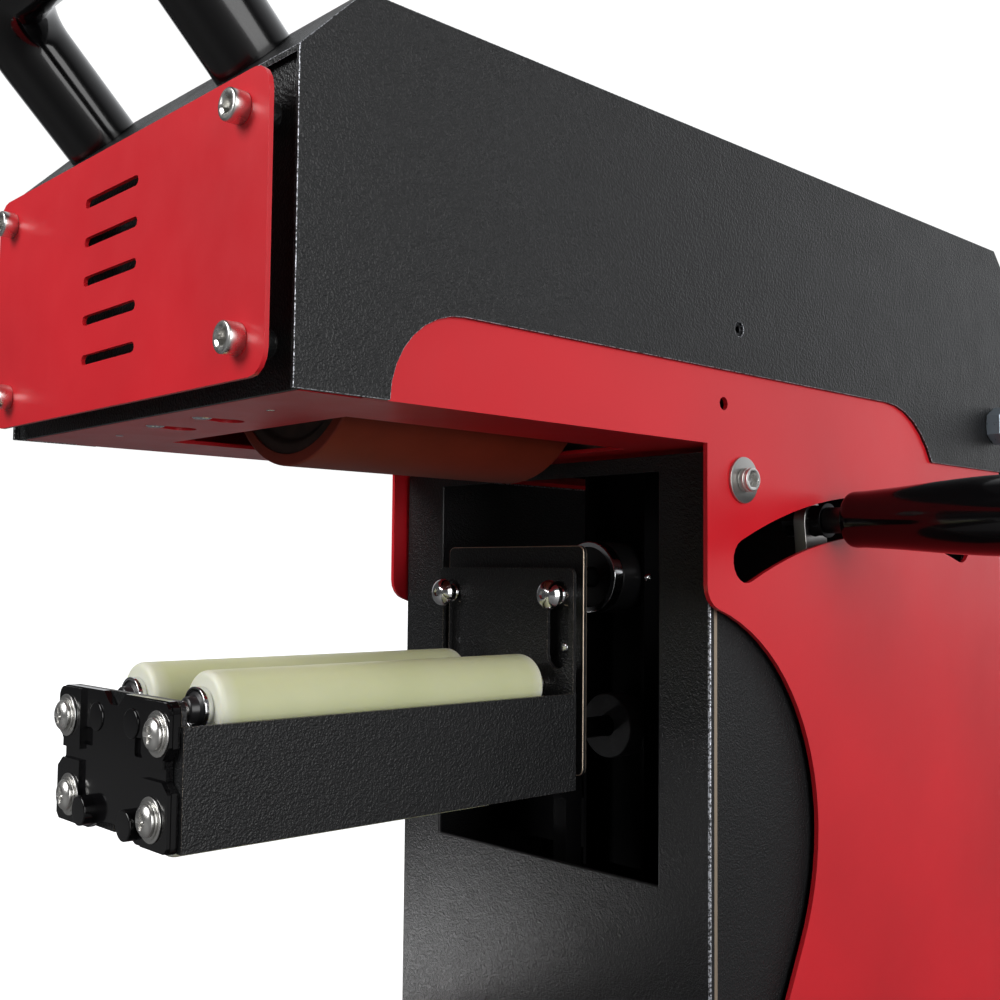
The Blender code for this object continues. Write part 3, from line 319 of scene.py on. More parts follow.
ROLLER_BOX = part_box("roller_right")
FINISH = {
    "black": wrinkle_black(),
    # Painted shade: the black paint darkened to 0.7 for pieces inside the column.
    "shaded_black": wrinkle_black("shaded_inner_black", 0.7),
    # Painted shade: near-black for pieces deep inside the column.
    "unlit": painted_shade_black(),
    "red": satin_red(),
    "red_edge": worn_and_glint_edge("red_edge", (0.62, 0.01, 0.018), (0.9, 0.6, 0.6), 0.12),
    "hood_edge": worn_and_glint_edge("hood_edge", DARK, PALE_SPECK, 0.5, 1.0),
    # Painted highlight: on the column's front corners the pale metal specks stand in for glints on the
    # paint's grain.
    "column_glint_edge": worn_and_glint_edge("column_glint_edge", DARK, PALE_SPECK, 0.5, 1.0, 84 * MM),
    "raw_edge": worn_and_glint_edge("raw_edge", DARK, RUSTY, 0.8, 1.2),
    "steel": bright_metal("steel", (0.56, 0.55, 0.53), 0.3),
    "turned_steel": bright_metal("turned_steel", (0.6, 0.59, 0.57), 0.26, 0.15),
    "zinc": bright_metal("zinc", (0.5, 0.5, 0.47), 0.34),
    "pale_steel": bright_metal("pale_steel", (0.82, 0.81, 0.78), 0.27),
    "grey_nut": passivated(),
    "blue_zinc": bright_metal("blue_zinc", (0.4, 0.47, 0.54), 0.28).set("Metallic", 0.35),
    "chrome": bright_metal("chrome", (0.82, 0.82, 0.83), 0.13, 0.04),
    "oxide": bright_metal("black_oxide", (0.03, 0.03, 0.032), 0.32),
    "gloss": gloss_black(),
    "grip": gloss_black("grip_black").set("Specular IOR Level", 0.22),
    "plastic": moulded_black(),
    "rubber": soft_rubber(),
    "drum": drum_silicone(),
    "drum_end": soft_rubber("drum_end", (0.03, 0.014, 0.01)),
    "roller": roller_silicone(ROLLER_BOX[0].y, ROLLER_BOX[1].y),
    "glass": glass_window(),
    "digit": lit_digit(),
    "button": button_cap(),
}


# ---------------------------------------------------------------- shapes


def hexagon(turn):
    """A hexagon's edge, as a share of its corner radius."""
    return cos(pi / 6) / cos(turn % (pi / 3) - pi / 6)


def flat_first(turn):
    """The same hexagon, turned so that it starts in the middle of a flat."""
    return hexagon(turn + pi / 6)


def cross(turn):
    """A plus sign's edge, as a share of its arm's length."""
    half_arm = 0.28
    across, up = max(abs(cos(turn)), 1e-6), max(abs(sin(turn)), 1e-6)
    return max(min(1 / across, half_arm / up), min(1 / up, half_arm / across))


def eased(rings, ease=0.4, steps=3):
    """Rounds the corners of a profile, leaving its two ends where they are."""
    made = [rings[0]]
    for before, here, after in zip(rings, rings[1:], rings[2:]):
        corner = Vector(here[:2])
        back = Vector(before[:2]) - corner
        on = Vector(after[:2]) - corner
        if back.length < 1e-6 or on.length < 1e-6:
            made.append(here)
            continue
        cut = min(ease, back.length * 0.45, on.length * 0.45)
        start = corner + back.normalized() * cut
        end = corner + on.normalized() * cut
        for i in range(steps + 1):
            t = i / steps
            point = start * (1 - t) ** 2 + corner * (2 * t * (1 - t)) + end * t**2
            made.append((point.x, point.y, *here[2:]))
    made.append(rings[-1])
    return made


def turned(origin, direction, rings, steps=48):
    """A mesh turned about a line from origin. rings holds (distance along, radius, edge shape)."""
    along = Vector(direction).normalized()
    up = X if abs(along.z) > 0.9 else Z
    side = along.cross(up).normalized()
    form = bmesh.new()
    loops = []
    for distance, radius, *shape in rings:
        count = steps if radius > 0 else 1
        loop = []
        for i in range(count):
            turn = 2 * pi * i / steps
            reach = radius * (shape[0](turn) if shape else 1.0) * MM
            spot = origin + along * distance * MM + (side * cos(turn) + up * sin(turn)) * reach
            loop.append(form.verts.new(spot))
        loops.append(loop)
    pairs = list(zip(loops, loops[1:]))
    if rings[0][1] > 0:
        pairs.append((loops[-1], loops[0]))
    for first, second in pairs:
        for i in range(steps):
            corners = [first[i % len(first)], first[(i + 1) % len(first)]]
            corners += [second[(i + 1) % len(second)], second[i % len(second)]]
            form.faces.new(list(dict.fromkeys(corners)))
    return as_mesh(form)


def as_mesh(form):
    bmesh.ops.remove_doubles(form, verts=form.verts, dist=1e-6)
    bmesh.ops.recalc_face_normals(form, faces=form.faces)
    mesh = bpy.data.meshes.new("shape")
    form.to_mesh(mesh)
    form.free()
    return mesh


TO_SPACE = {
    "XY": lambda u, v, w: (u, v, w),
    "XZ": lambda u, v, w: (u, w, v),
    "YZ": lambda u, v, w: (w, u, v),
}


def plate(plane, outline, low, high, holes=()):
    """A flat outline with holes, in head-frame millimetres, thickened from low to high."""
    curve = bpy.data.curves.new("outline", "CURVE")
    curve.dimensions = "2D"
    curve.fill_mode = "BOTH"
    curve.extrude = (high - low) / 2
    for loop in (outline, *holes):
        spline = curve.splines.new("POLY")
        spline.points.add(len(loop) - 1)
        spline.use_cyclic_u = True
        for point, (u, v) in zip(spline.points, loop):
            point.co = (u, v, 0, 1)
    guide = bpy.data.objects.new("outline", curve)
    mesh = bpy.data.meshes.new_from_object(guide)
    bpy.data.objects.remove(guide)
    bpy.data.curves.remove(curve)
    form = bmesh.new()
    form.from_mesh(mesh)
    bpy.data.meshes.remove(mesh)
    for vertex in form.verts:
        u, v, w = vertex.co
        vertex.co = place(*TO_SPACE[plane](u, v, w + (low + high) / 2))
    return as_mesh(form)


def arc(centre, radius, start, end, steps):
    turns = [start + (end - start) * i / steps for i in range(steps + 1)]
    return [(centre[0] + radius * cos(a), centre[1] + radius * sin(a)) for a in turns]


def circle(centre, radius, steps=32):
    return arc(centre, radius, 0, 2 * pi, steps)[:-1]


def rounded_rectangle(low, high, radius, steps=6):
    corners = (
        (high[0] - radius, low[1] + radius, -pi / 2),
        (high[0] - radius, high[1] - radius, 0),
        (low[0] + radius, high[1] - radius, pi / 2),
        (low[0] + radius, low[1] + radius, pi),
    )
    return [p for u, v, a in corners for p in arc((u, v), radius, a, a + pi / 2, steps)]


def swept(path, radius, steps=40):
    """A round bar along a smooth path of world points, closed flat at both ends."""
    form = bmesh.new()
    loops = []
    side = None
    for i, spot in enumerate(path):
        ahead = path[min(i + 1, len(path) - 1)] - path[max(i - 1, 0)]
        ahead.normalize()
        if side is None:
            side = ahead.orthogonal().normalized()
        side = (side - ahead * side.dot(ahead)).normalized()
        other = ahead.cross(side)
        loop = []
        for k in range(steps):
            turn = 2 * pi * k / steps
            loop.append(form.verts.new(spot + (side * cos(turn) + other * sin(turn)) * radius * MM))
        loops.append(loop)
    for first, second in zip(loops, loops[1:]):
        for k in range(steps):
            form.faces.new([first[k], first[(k + 1) % steps], second[(k + 1) % steps], second[k]])
    form.faces.new(loops[0])
    form.faces.new(loops[-1])
    return as_mesh(form)


def joined(base, *others, cut=()):
    """One mesh from several that overlap, less the cutters."""
    target = bpy.data.objects.new("joined", base)
    bpy.context.scene.collection.objects.link(target)
    tools = [("UNION", mesh) for mesh in others] + [("DIFFERENCE", mesh) for mesh in cut]
    helpers = []
    for operation, mesh in tools:
        helper = bpy.data.objects.new("helper", mesh)
        bpy.context.scene.collection.objects.link(helper)
        helpers.append(helper)
        step = target.modifiers.new(operation, "BOOLEAN")
        step.operation = operation
        step.solver = "EXACT"
        step.object = helper
    bpy.context.view_layer.update()
    graph = bpy.context.evaluated_depsgraph_get()
    mesh = bpy.data.meshes.new_from_object(target.evaluated_get(graph))
    for helper in (target, *helpers):
        bpy.data.objects.remove(helper)
    return mesh


# ---------------------------------------------------------------- pieces


def break_edges(obj, width_mm, segments=2, angle=35, edge=None):
    """Rounds the sharp edges, and gives their faces the second finish if there is one."""
    if edge:
        obj.data.materials.append(FINISH[edge].made)
    bevel = obj.modifiers.new("edges", "BEVEL")
    bevel.width = width_mm * MM
    bevel.segments = segments
    bevel.limit_method = "ANGLE"
    bevel.angle_limit = radians(angle)
    bevel.material = 1 if edge else -1
    normals = obj.modifiers.new("normals", "WEIGHTED_NORMAL")
    normals.weight = 50
    normals.keep_sharp = False


def put(name, mesh, finish, body, replaces=()):
    """A new piece, shaded smooth, that rides on a body."""
    mesh.name = name
    mesh.materials.clear()
    mesh.materials.append(FINISH[finish].made)
    mesh.shade_smooth()
    mesh.set_sharp_from_angle(angle=radians(38))
    made = bpy.data.objects.new(name, mesh)
    bpy.context.scene.collection.objects.link(made)
    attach(made, body)
    if replaces:
        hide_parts(*replaces)
    return made


def keep(node, finish, width_mm=0.3, edge=None):
    """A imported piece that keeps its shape: its facets are joined and its edges are broken."""
    obj = frame["nodes"][node]
    obj.data.materials.clear()
    obj.data.materials.append(FINISH[finish].made)
    weld = obj.modifiers.new("weld", "WELD")
    weld.merge_threshold = 0.01 * MM
    flat = obj.modifiers.new("flat", "DECIMATE")
    flat.decimate_type = "DISSOLVE"
    flat.angle_limit = radians(0.6)
    break_edges(obj, width_mm, 2, 35, edge)
    return obj


def add_kept_pieces():
    keep("hood", "black", 0.7, "hood_edge")
    # Painted highlight: the chassis corners get pale specks for glints on the paint's grain.
    keep("chassis", "black", 0.9, "column_glint_edge")
    keep("tray", "black", 0.35, "raw_edge")
    # Painted shade: the carriage plate gets the darkened copy of the black paint, for the shade inside the
    # column.
    keep("carriage_plate", "shaded_black", 0.35, "raw_edge")
    # Painted shade: the guide channel gets the near-black finish for the dark inside of the column.
    keep("guide_channel", "unlit", 0.25)
    keep("arm_front", "black", 0.25)
    keep("base_plate", "black", 0.25)
    keep("rear_cover", "black", 0.25)
    for side, _ in SIDES:
        keep(f"side_panel_{side}", "red", 0.4, "red_edge")
    keep("arm_floor", "red", 0.3)
    keep("front_plate", "red", 0.35, "red_edge")
    for node in ("drum_bracket_front", "drum_bracket_rear", "gear_motor"):
        keep(node, "steel", 0.2)
    # Painted shade: the lift spine gets the near-black finish for the dark inside of the column.
    keep("lift_spine", "unlit", 0.2)
    keep("lift_cam", "turned_steel", 0.3)
    keep("lever_arm", "steel", 0.5)
    keep("power_inlet", "plastic", 0.3)
    keep("power_switch", "plastic", 0.3)
    keep("power_rocker", "gloss", 0.25)
    keep("control_bezel", "plastic", 0.6)
    keep("display_lens", "glass", 0.3)


def cap_screw(name, seat, out, head_r, head_h, shank, body, finish="chrome", replaces=(), shank_r=3.0):
    """A socket-head cap screw. seat is where its head rests, and out is the way it faces."""
    socket = head_r * 0.5
    rings = [(-shank, 0), (-shank, shank_r - 0.5), (-shank + 0.5, shank_r), (0, shank_r)]
    rings += [(0, head_r - 0.2), (0.3, head_r)]
    rings += eased([(0.3, head_r), (head_h, head_r), (head_h, socket * 1.3)], 0.8)[1:]
    rings += [(head_h - 0.5, socket * 1.14, hexagon), (head_h * 0.42, socket * 1.1, hexagon)]
    rings += [(head_h * 0.42, 1.0), (head_h * 0.3, 0)]
    mesh = turned(seat, out, rings, 48)
    return put(name, mesh, finish, body, replaces)


def washer(name, seat, out, inner, outer, thick, body, finish="steel"):
    rings = eased([(0, inner), (0, outer), (thick, outer), (thick, inner)], 0.25)
    return put(name, turned(seat, out, rings), finish, body)


def add_front_plate_screws():
    """Four cap screws, each with a nut between the plate and the wall behind it."""
    seat_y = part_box("front_plate")[0].y
    back_y = in_head(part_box("front_plate")[1]).y
    for corner in ("lower_left", "lower_right", "upper_left", "upper_right"):
        node = f"front_screw_{corner}"
        low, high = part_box(node)
        centre = middle(node)
        seat = Vector((centre.x, seat_y - 0.05 * MM, centre.z))
        head_r = (high.x - low.x) / 2 / MM
        head_h = (seat.y - low.y) / MM
        cap_screw(f"plate_screw_{corner}", seat, -Y, head_r, head_h, 8.5, "root", "pale_steel", [node])
        spot = in_head(centre)
        nut_r, nut_bore = 7.8, 5.35
        rings = [(0, nut_bore), (0, nut_r - 1), (0.4, nut_r, flat_first), (3.7, nut_r, flat_first)]
        rings += [(4.1, nut_r - 1), (4.1, nut_bore)]
        start = place(spot.x, back_y + 0.05, spot.z)
        put(f"plate_nut_{corner}", turned(start, Y, rings, 60), "grey_nut", "root")


def add_hood_fastenings():
    """On each side: the hood's rear hex bolt and grub screw, and the panel's screw and washer."""
    corner_r = 9.8
    for side, sign in SIDES:
        out = X * sign
        spot = in_head(middle(f"hood_bolt_{side}"))
        seat = place(sign * 100.05, spot.y, spot.z)
        rings = [(-6, 0), (-6, 3.4), (-5.4, 4), (0, 4), (0, 8.2), (0.5, 8.3)]
        rings += [(0.51, corner_r, flat_first), (7.2, corner_r, flat_first)]
        rings += [(8.0, corner_r * 0.9, flat_first), (8.1, corner_r * 0.78)]
        rings += [(8.1, 6.2), (7.6, 5.6), (7.6, 0)]
        mesh = turned(seat, out, rings, 60)
        put(f"hood_hex_bolt_{side}", mesh, "blue_zinc", "root", [f"hood_bolt_{side}"])

        screw_y, screw_z = 209.8, 47.0
        seat = place(sign * 98.2, screw_y, screw_z)
        rings = [(-6, 0), (-6, 2.7), (-1.2, 2.7), (-1.2, 4.6), (0.2, 4.6), (0.2, 2.7), (1.1, 2.7)]
        rings = eased(rings, 0.3) + [(1.1, 1.7), (0.9, 1.5, hexagon), (-1.5, 1.5, hexagon), (-1.9, 0)]
        put(f"hood_grub_screw_{side}", turned(seat, out, rings, 36), "oxide", "root")

        spot = in_head(middle(f"side_bolt_{side}"))
        face = in_head(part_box("side_panel_right")[1]).x
        seat = place(sign * (face + 0.05), spot.y, spot.z)
        washer(f"side_bolt_washer_{side}", seat, out, 3.2, 9.3, 1.2, "root")
        seat = place(sign * (face + 1.3), spot.y, spot.z)
        rings = [(-9, 0), (-9, 2.6), (-8.4, 3), (0, 3)]
        groove = [(2.2, 4.9), (2.4, 4.3), (2.8, 4.3), (3.0, 4.75)]
        rings += eased([(0, 3), (0, 4.9), *groove, (4.1, 4.75), (4.1, 3.7)], 0.35)[1:]
        rings += [(3.9, 3.4, hexagon), (1.9, 3.4, hexagon), (1.9, 1.0), (1.6, 0)]
        mesh = turned(seat, out, rings, 48)
        put(f"side_cap_screw_{side}", mesh, "pale_steel", "root", [f"side_bolt_{side}"])


def add_carry_handle():
    """A bent tube: two legs square to the hood's chamfer and a bar between them."""
    low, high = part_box("carry_handle")
    radius = 14.2
    reach, bend = 61.0, 23.5
    down = Vector((0, sqrt(0.5), -sqrt(0.5)))
    half = (high.x - low.x) / 2 - radius * MM
    bar = Vector((0, low.y + radius * MM, high.z - radius * MM))
    turns = [pi / 2 * i / 14 for i in range(15)]
    path = []
    for sign in (-1, 1):
        foot = bar + X * sign * half + down * (reach - 0.2) * MM
        corner = bar + X * sign * (half - bend * MM) + down * bend * MM
        leg = [foot + (corner + X * sign * bend * MM - foot) * (i / 6) for i in range(7)]
        curve = [corner + (X * sign * cos(a) - down * sin(a)) * bend * MM for a in turns]
        half_path = leg[:-1] + curve
        path += half_path if sign < 0 else half_path[::-1]
    put("carry_handle_tube", swept(path, radius), "gloss", "root", ["carry_handle"])


def spline_value(p, q, r, s, t):
    """The Catmull-Rom curve from q to r at t, with p before and s after."""
    square = (2 * p - 5 * q + 4 * r - s) * t**2
    return 0.5 * (2 * q + (r - p) * t + square + (3 * q - p - 3 * r + s) * t**3)


def smooth_profile(points, steps=6):
    """A Catmull-Rom curve through (distance, radius) points."""
    made = []
    ends = [points[0], *points, points[-1]]
    for a, b, c, d in zip(ends, ends[1:], ends[2:], ends[3:]):
        for i in range(steps):
            made.append(tuple(spline_value(*values, i / steps) for values in zip(a, b, c, d)))
    made.append(points[-1])
    return made


def add_lever():
    """The grip, the stem through the lever arm with its two nuts, and the shaft."""
    low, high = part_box("lever_grip")
    axis = middle("lever_grip")
    start = Vector((low.x, axis.y, axis.z))
    length = (high.x - low.x) / MM
    swell = (high.z - low.z) / 2 / MM
    body = [(3.2, 12.2), (9, 12.3), (23, 13.2), (41, 14.7), (57, swell - 0.4), (71, swell)]
    body += [(83, swell - 0.2), (93, swell - 2.0), (100, swell - 5.4), (104, swell - 10.2)]
    body += [(length, 1.2)]
    rings = eased([(1.2, 5.4), (0, 5.6), (0, 10.2), (1.4, 12.0), (3.0, 12.2)], 0.9)
    rings += smooth_profile(body)[1:]
    rings += [(length, 0.0)]
    rings = [(20, 0), (20, 5.4), *rings]
    put("lever_handgrip", turned(start, X, rings, 56), "grip", "lever", ["lever_grip"])

    stem = middle("lever_stem")
    arm = [in_head(corner).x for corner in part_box("lever_arm")]
    stem_low, stem_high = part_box("lever_stem")
    span = (stem_high.x - stem_low.x) / MM
    rod = [(0, 0), (0, 4.4), (0.6, 5), (span - 0.6, 5), (span, 4.4), (span, 0)]
    foot = Vector((stem_low.x, stem.y, stem.z))
    put("lever_rod", turned(foot, X, rod), "turned_steel", "lever", ["lever_stem"])
    for name, x, thick in (("inner", arm[0] - 6.6, 6.4), ("outer", arm[1] + 0.2, 5.8)):
        seat = place(x, *in_head(stem)[1:])
        rings = [(0, 5.1), (0, 7.0), (0.4, 7.6, hexagon), (thick - 0.5, 7.6, hexagon)]
        rings += [(thick, 7.0), (thick, 5.5), (thick - 0.4, 5.1)]
        put(f"lever_nut_{name}", turned(seat, X, rings, 60), "oxide", "lever")
    seat = place(arm[1] + 6.1, *in_head(stem)[1:])
    washer("lever_washer", seat, X, 5.1, 7.7, 0.8, "lever", "oxide")
    neck = place(arm[1] + 6.8, *in_head(stem)[1:])
    gap = in_head(low).x - arm[1] - 7.0
    rings = eased([(0, 5.1), (0, 5.8), (gap * 0.6, 5.7), (gap, 5.7), (gap, 5.1)], 0.3)
    put("lever_neck", turned(neck, X, rings), "plastic", "lever")

    shaft_low, shaft_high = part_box("lever_shaft")
    radius = (shaft_high.z - shaft_low.z) / 2 / MM
    span = (shaft_high.x - shaft_low.x) / MM
    centre = middle("lever_shaft")
    groove = [(7.6, radius), (7.8, radius - 0.8), (9.0, radius - 0.8), (9.2, radius)]
    rings = [(0, 0), (0, radius - 0.8), (0.8, radius), *groove]
    rings += [(span - 0.8, radius), (span, radius - 0.8), (span, 0)]
    start = Vector((shaft_low.x, centre.y, centre.z))
    put("pivot_shaft", turned(start, X, rings), "turned_steel", "lever", ["lever_shaft"])


def add_drum():
    low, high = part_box("drum_sleeve")
    radius = (high.x - low.x) / 2 / MM
    length = (high.y - low.y) / MM
    centre = middle("drum_sleeve")
    start = Vector((centre.x, low.y, centre.z))
    wall = 4.5
    rings = eased([(0, radius - wall), (0, radius), (length, radius), (length, radius - wall)], 1.1, 4)
    mesh = turned(start, Y, rings, 96)
    put("drum_silicone_sleeve", mesh, "drum", "drum", ["drum_sleeve"])
    inner = radius - wall - 0.1
    shaft = 8.0
    core_low, core_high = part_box("drum_core")
    ahead = (low.y - core_low.y) / MM
    behind = (core_high.y - low.y) / MM
    rings = [(-ahead, 0), (-ahead, shaft - 0.8), (0.8 - ahead, shaft), (1.2, shaft), (1.2, shaft + 6)]
    dish = [(1.2, shaft + 6), (2.6, shaft + 7), (2.6, inner - 6), (0.8, inner - 4), (0.8, inner)]
    rings += eased(dish, 0.8)[1:]
    rings += [(length - 0.8, inner), (length - 0.8, shaft)]
    rings += [(behind - 0.8, shaft), (behind, shaft - 0.8), (behind, 0)]
    put("drum_heater_core", turned(start, Y, rings, 72), "drum_end", "drum", ["drum_core"])


def add_rollers():
    for name in ("left", "right", "lower"):
        node = f"roller_{name}"
        body = BODY_OF[node]
        low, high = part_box(node)
        radius = (high.x - low.x) / 2 / MM
        length = (high.y - low.y) / MM
        centre = middle(node)
        start = Vector((centre.x, low.y, centre.z))
        bore = 5.9
        rings = eased([(0.6, bore), (0, bore + 0.6), (0, radius), (length, radius), (length, bore)], 2.6, 6)
        mesh = turned(start, Y, rings, 64)
        put(f"{node}_sleeve", mesh, "roller", body, [node])

        axle_low, axle_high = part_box(f"roller_axle_{name}")
        stub, core = 3.0, 5.7
        front = (low.y - axle_low.y) / MM
        back = (axle_high.y - low.y) / MM
        rings = [(-front, 0), (-front, stub - 0.5), (0.5 - front, stub), (-1.9, stub), (-1.9, core)]
        rings += [(length + 1.9, core), (length + 1.9, stub)]
        rings += [(back - 0.5, stub), (back, stub - 0.5), (back, 0)]
        mesh = turned(start, Y, rings, 40)
        put(f"{node}_spindle", mesh, "turned_steel", body, [f"roller_axle_{name}"])
        for end, seat, out in (("front", -0.1, -Y), ("rear", length + 0.1, Y)):
            seat_at = start + Y * seat * MM
            race = eased([(0, 5.9), (0, 7.5), (3.2, 7.5), (3.2, 6.3), (2.2, 6.1), (2.2, 5.9)], 0.35)
            put(f"{node}_race_{end}", turned(seat_at, out, race, 56), "chrome", body)
            seal = [(2.05, 3.1), (2.05, 5.8), (2.9, 6.0), (3.4, 4.6), (6.2, 4.2), (6.6, 3.6), (6.6, 3.1)]
            mesh = turned(seat_at, out, eased(seal, 0.3), 48)
            put(f"{node}_seal_{end}", mesh, "plastic", body)


def cap_outline(half, low, top):
    """A plate with a notch in its top and each side, and a shallow arch under its middle."""
    span, rise = 17.3, 4.0
    arch = (span**2 + rise**2) / (2 * rise)
    top_r, low_r = 4.0, 2.5
    right = arc((0, low + rise - arch), arch, pi / 2, acos(span / arch), 12)
    right += arc((half - low_r, low + low_r), low_r, -pi / 2, 0, 6)
    right += side_notch(half)
    right += arc((half - top_r, top - top_r), top_r, 0, pi / 2, 6)
    right += [(8, top), (3, top - 4.2)]
    return right + [(-u, v) for u, v in reversed(right) if u > 0]


def side_notch(edge):
    """The notch in the cap's right edge, from its lower end to its upper end."""
    deep = edge - 4
    return [(edge, -120.3), (deep, -117), (deep, -111), (edge, -106.6)]


def pad_outlines(half, low, top):
    """The cap's raised right corners, lower and upper."""
    inset, inner = 0.35, 23.0
    edge, over, under = half - inset, top - inset, low + inset
    lower_end, below, above, upper_end = side_notch(edge)
    lower = [(inner, under), (edge - 2, under), (edge, under + 2), (edge, lower_end[1] - inset)]
    lower += [(below[0], below[1] - inset), (inner, below[1] - inset)]
    rest = above[1] - 2.4
    upper = [(inner, rest), (above[0], rest), (above[0], above[1] + inset), (edge, upper_end[1] + inset)]
    upper += arc((edge - 4, over - 4), 4, 0, pi / 2, 6) + [(inner, over)]
    return lower, upper


def add_end_cap():
    """The moulded cap at the tray's front: four raised pads, a cross-shaped valley and stubs."""
    low, high = (in_head(corner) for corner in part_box("end_cap"))
    half, bottom, top = high.x, low.z, high.z
    face, pad_face = high.y - 2.3, high.y - 3.6
    base = plate("XZ", cap_outline(half, bottom, top), face, high.y)
    raised = []
    cuts = []
    for sign in (-1, 1):
        for outline in pad_outlines(half, bottom, top):
            raised.append(plate("XZ", [(sign * u, v) for u, v in outline], pad_face, face + 0.5))
        for x, z, radius, stub_face in ((12.9, -101.3, 5.0, face - 0.6), (16.5, -133.1, 5.1, low.y)):
            tall = face + 0.8 - stub_face
            rings = eased([(0, 0), (0, radius), (tall, radius), (tall, 0)], 0.5)
            raised.append(turned(place(sign * x, face + 0.8, z), -Y, rings, 40))
        slot = rounded_rectangle((15.2, -111.6), (22.6, -105.4), 1.2, 4)
        cuts.append(plate("XZ", [(sign * u, v) for u, v in slot], face - 1, face + 1.1))
    mesh = joined(base, *raised, cut=cuts)
    cap = put("tray_end_cap", mesh, "gloss", "tray", ["end_cap"])
    break_edges(cap, 0.4, 3, 40)

    for number in (1, 2, 3, 4):
        spot = in_head(middle(f"cap_screw_{number}"))
        seat = place(spot.x, pad_face - 0.05, spot.z)
        washer(f"cap_screw_washer_{number}", seat, -Y, 3.2, 7.3, 0.65, "tray", "pale_steel")
        seat = place(spot.x, pad_face - 0.75, spot.z)
        rings = eased([(0, 2.6), (0, 6.0), (0.55, 6.0), (0.55, 5.0), (0.6, 2.6)], 0.15)
        put(f"cap_screw_spring_{number}", turned(seat, -Y, rings), "pale_steel", "tray")
        dome = [(0, 5.2), (0.7, 5.2), (1.3, 4.7), (1.8, 3.9), (2.15, 3.0)]
        rings = [(-8, 0), (-8, 1.8), (-7.5, 2.2), (0.7, 2.2), (0.7, 4.9)]
        rings += [(0.7 + a, r) for a, r in smooth_profile(dome, 4)]
        rings += [(2.75, 2.8, cross), (1.6, 2.1, cross), (1.1, 0)]
        mesh = turned(seat, -Y, rings, 64)
        put(f"cap_pan_screw_{number}", mesh, "pale_steel", "tray", [f"cap_screw_{number}"])


def add_carriage_details():
    for side, _ in SIDES:
        node = f"clamp_bolt_{side}"
        low, high = (in_head(corner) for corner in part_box(node))
        spot = in_head(middle(node))
        length = high.y - low.y
        seat = place(spot.x, low.y, spot.z)
        dome = [(0, 0.0), (0.15, 1.9), (0.8, 3.8), (2.2, 5.5), (3.9, 6.3)]
        rings = [(0.9, 0), (0.9, 1.2, hexagon), (0.2, 1.9, hexagon)] + smooth_profile(dome, 4)[5:]
        neck = [(3.9, 6.3), (4.9, 5.9), (5.6, 3.4), (9.2, 3.4), (9.7, 3.95), (length, 3.95)]
        rings += eased(neck, 0.3)[1:-1]
        rings += [(length - 0.6, 3.95), (length, 3.3), (length, 0)]
        put(f"clamp_dome_bolt_{side}", turned(seat, Y, rings, 48), "chrome", "carriage", [node])
    plate_y = in_head(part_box("carriage_plate")[0]).y
    for side, sign in SIDES:
        end = [(-1.5, 0), (-1.5, 2.0), (0.9, 2.0), (1.3, 1.5), (1.3, 0)]
        mesh = turned(place(sign * 32.3, plate_y, -81.8), -Y, eased(end, 0.2), 32)
        put(f"carriage_screw_end_{side}", mesh, "chrome", "carriage")

    bore = 5.0
    for name in ("upper", "lower"):
        node = f"guide_wheel_{name}"
        body = BODY_OF[node]
        low, high = (in_head(corner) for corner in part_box(node))
        spot = in_head(middle(node))
        radius = (high.x - low.x) / 2
        length = high.y - low.y
        start = place(spot.x, low.y, spot.z)
        if name == "upper":
            recess = [(2.2, bore), (2.2, radius - 2.6), (6.2, radius - 2.6), (6.2, radius)]
            rings = eased([*recess, (length, radius), (length, bore)], 0.4)
            put("guide_wheel_upper_tyre", turned(start, Y, rings, 64), "plastic", body, [node])
            ring = eased([(0, radius - 2.5), (0, radius), (6.1, radius), (6.1, radius - 2.5)], 0.7, 5)
            put("guide_wheel_upper_rim", turned(start, Y, ring, 72), "chrome", body)
        else:
            rings = eased([(0, bore), (0, radius), (length, radius), (length, bore)], 0.9, 4)
            put("guide_wheel_lower_tyre", turned(start, Y, rings, 64), "rubber", body, [node])

    channel_side = in_head(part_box("guide_wheel_upper")[1]).x + 2.35
    small_pan_screw("channel_side_screw", place(channel_side, 250.4, -52.6), X, 2.4, "root", "chrome")

    low, high = (in_head(corner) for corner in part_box("cam_follower"))
    spot = in_head(middle("cam_follower"))
    radius = (high.z - low.z) / 2
    length = high.x - low.x
    start = place(low.x, spot.y, spot.z)
    rings = eased([(0, 4.3), (0, radius), (length, radius), (length, 4.3)], 0.7)
    mesh = turned(start, X, rings, 56)
    put("cam_follower_ring", mesh, "turned_steel", BODY_OF["cam_follower"], ["cam_follower"])


def add_column_edge():
    """The cut edge of the column's front sheet, lapped over its side and left unpainted."""
    side = in_head(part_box("chassis")[1]).x
    front = COLUMN_FRONT + 2.4
    edge = [(side - 0.6, front), (side + 0.12, front + 0.2)]
    edge += [(side + 0.12, front + 2.0), (side - 0.6, front + 2.2)]
    put("column_raw_edge", plate("XY", edge, -262, -60), "raw_edge", "root")


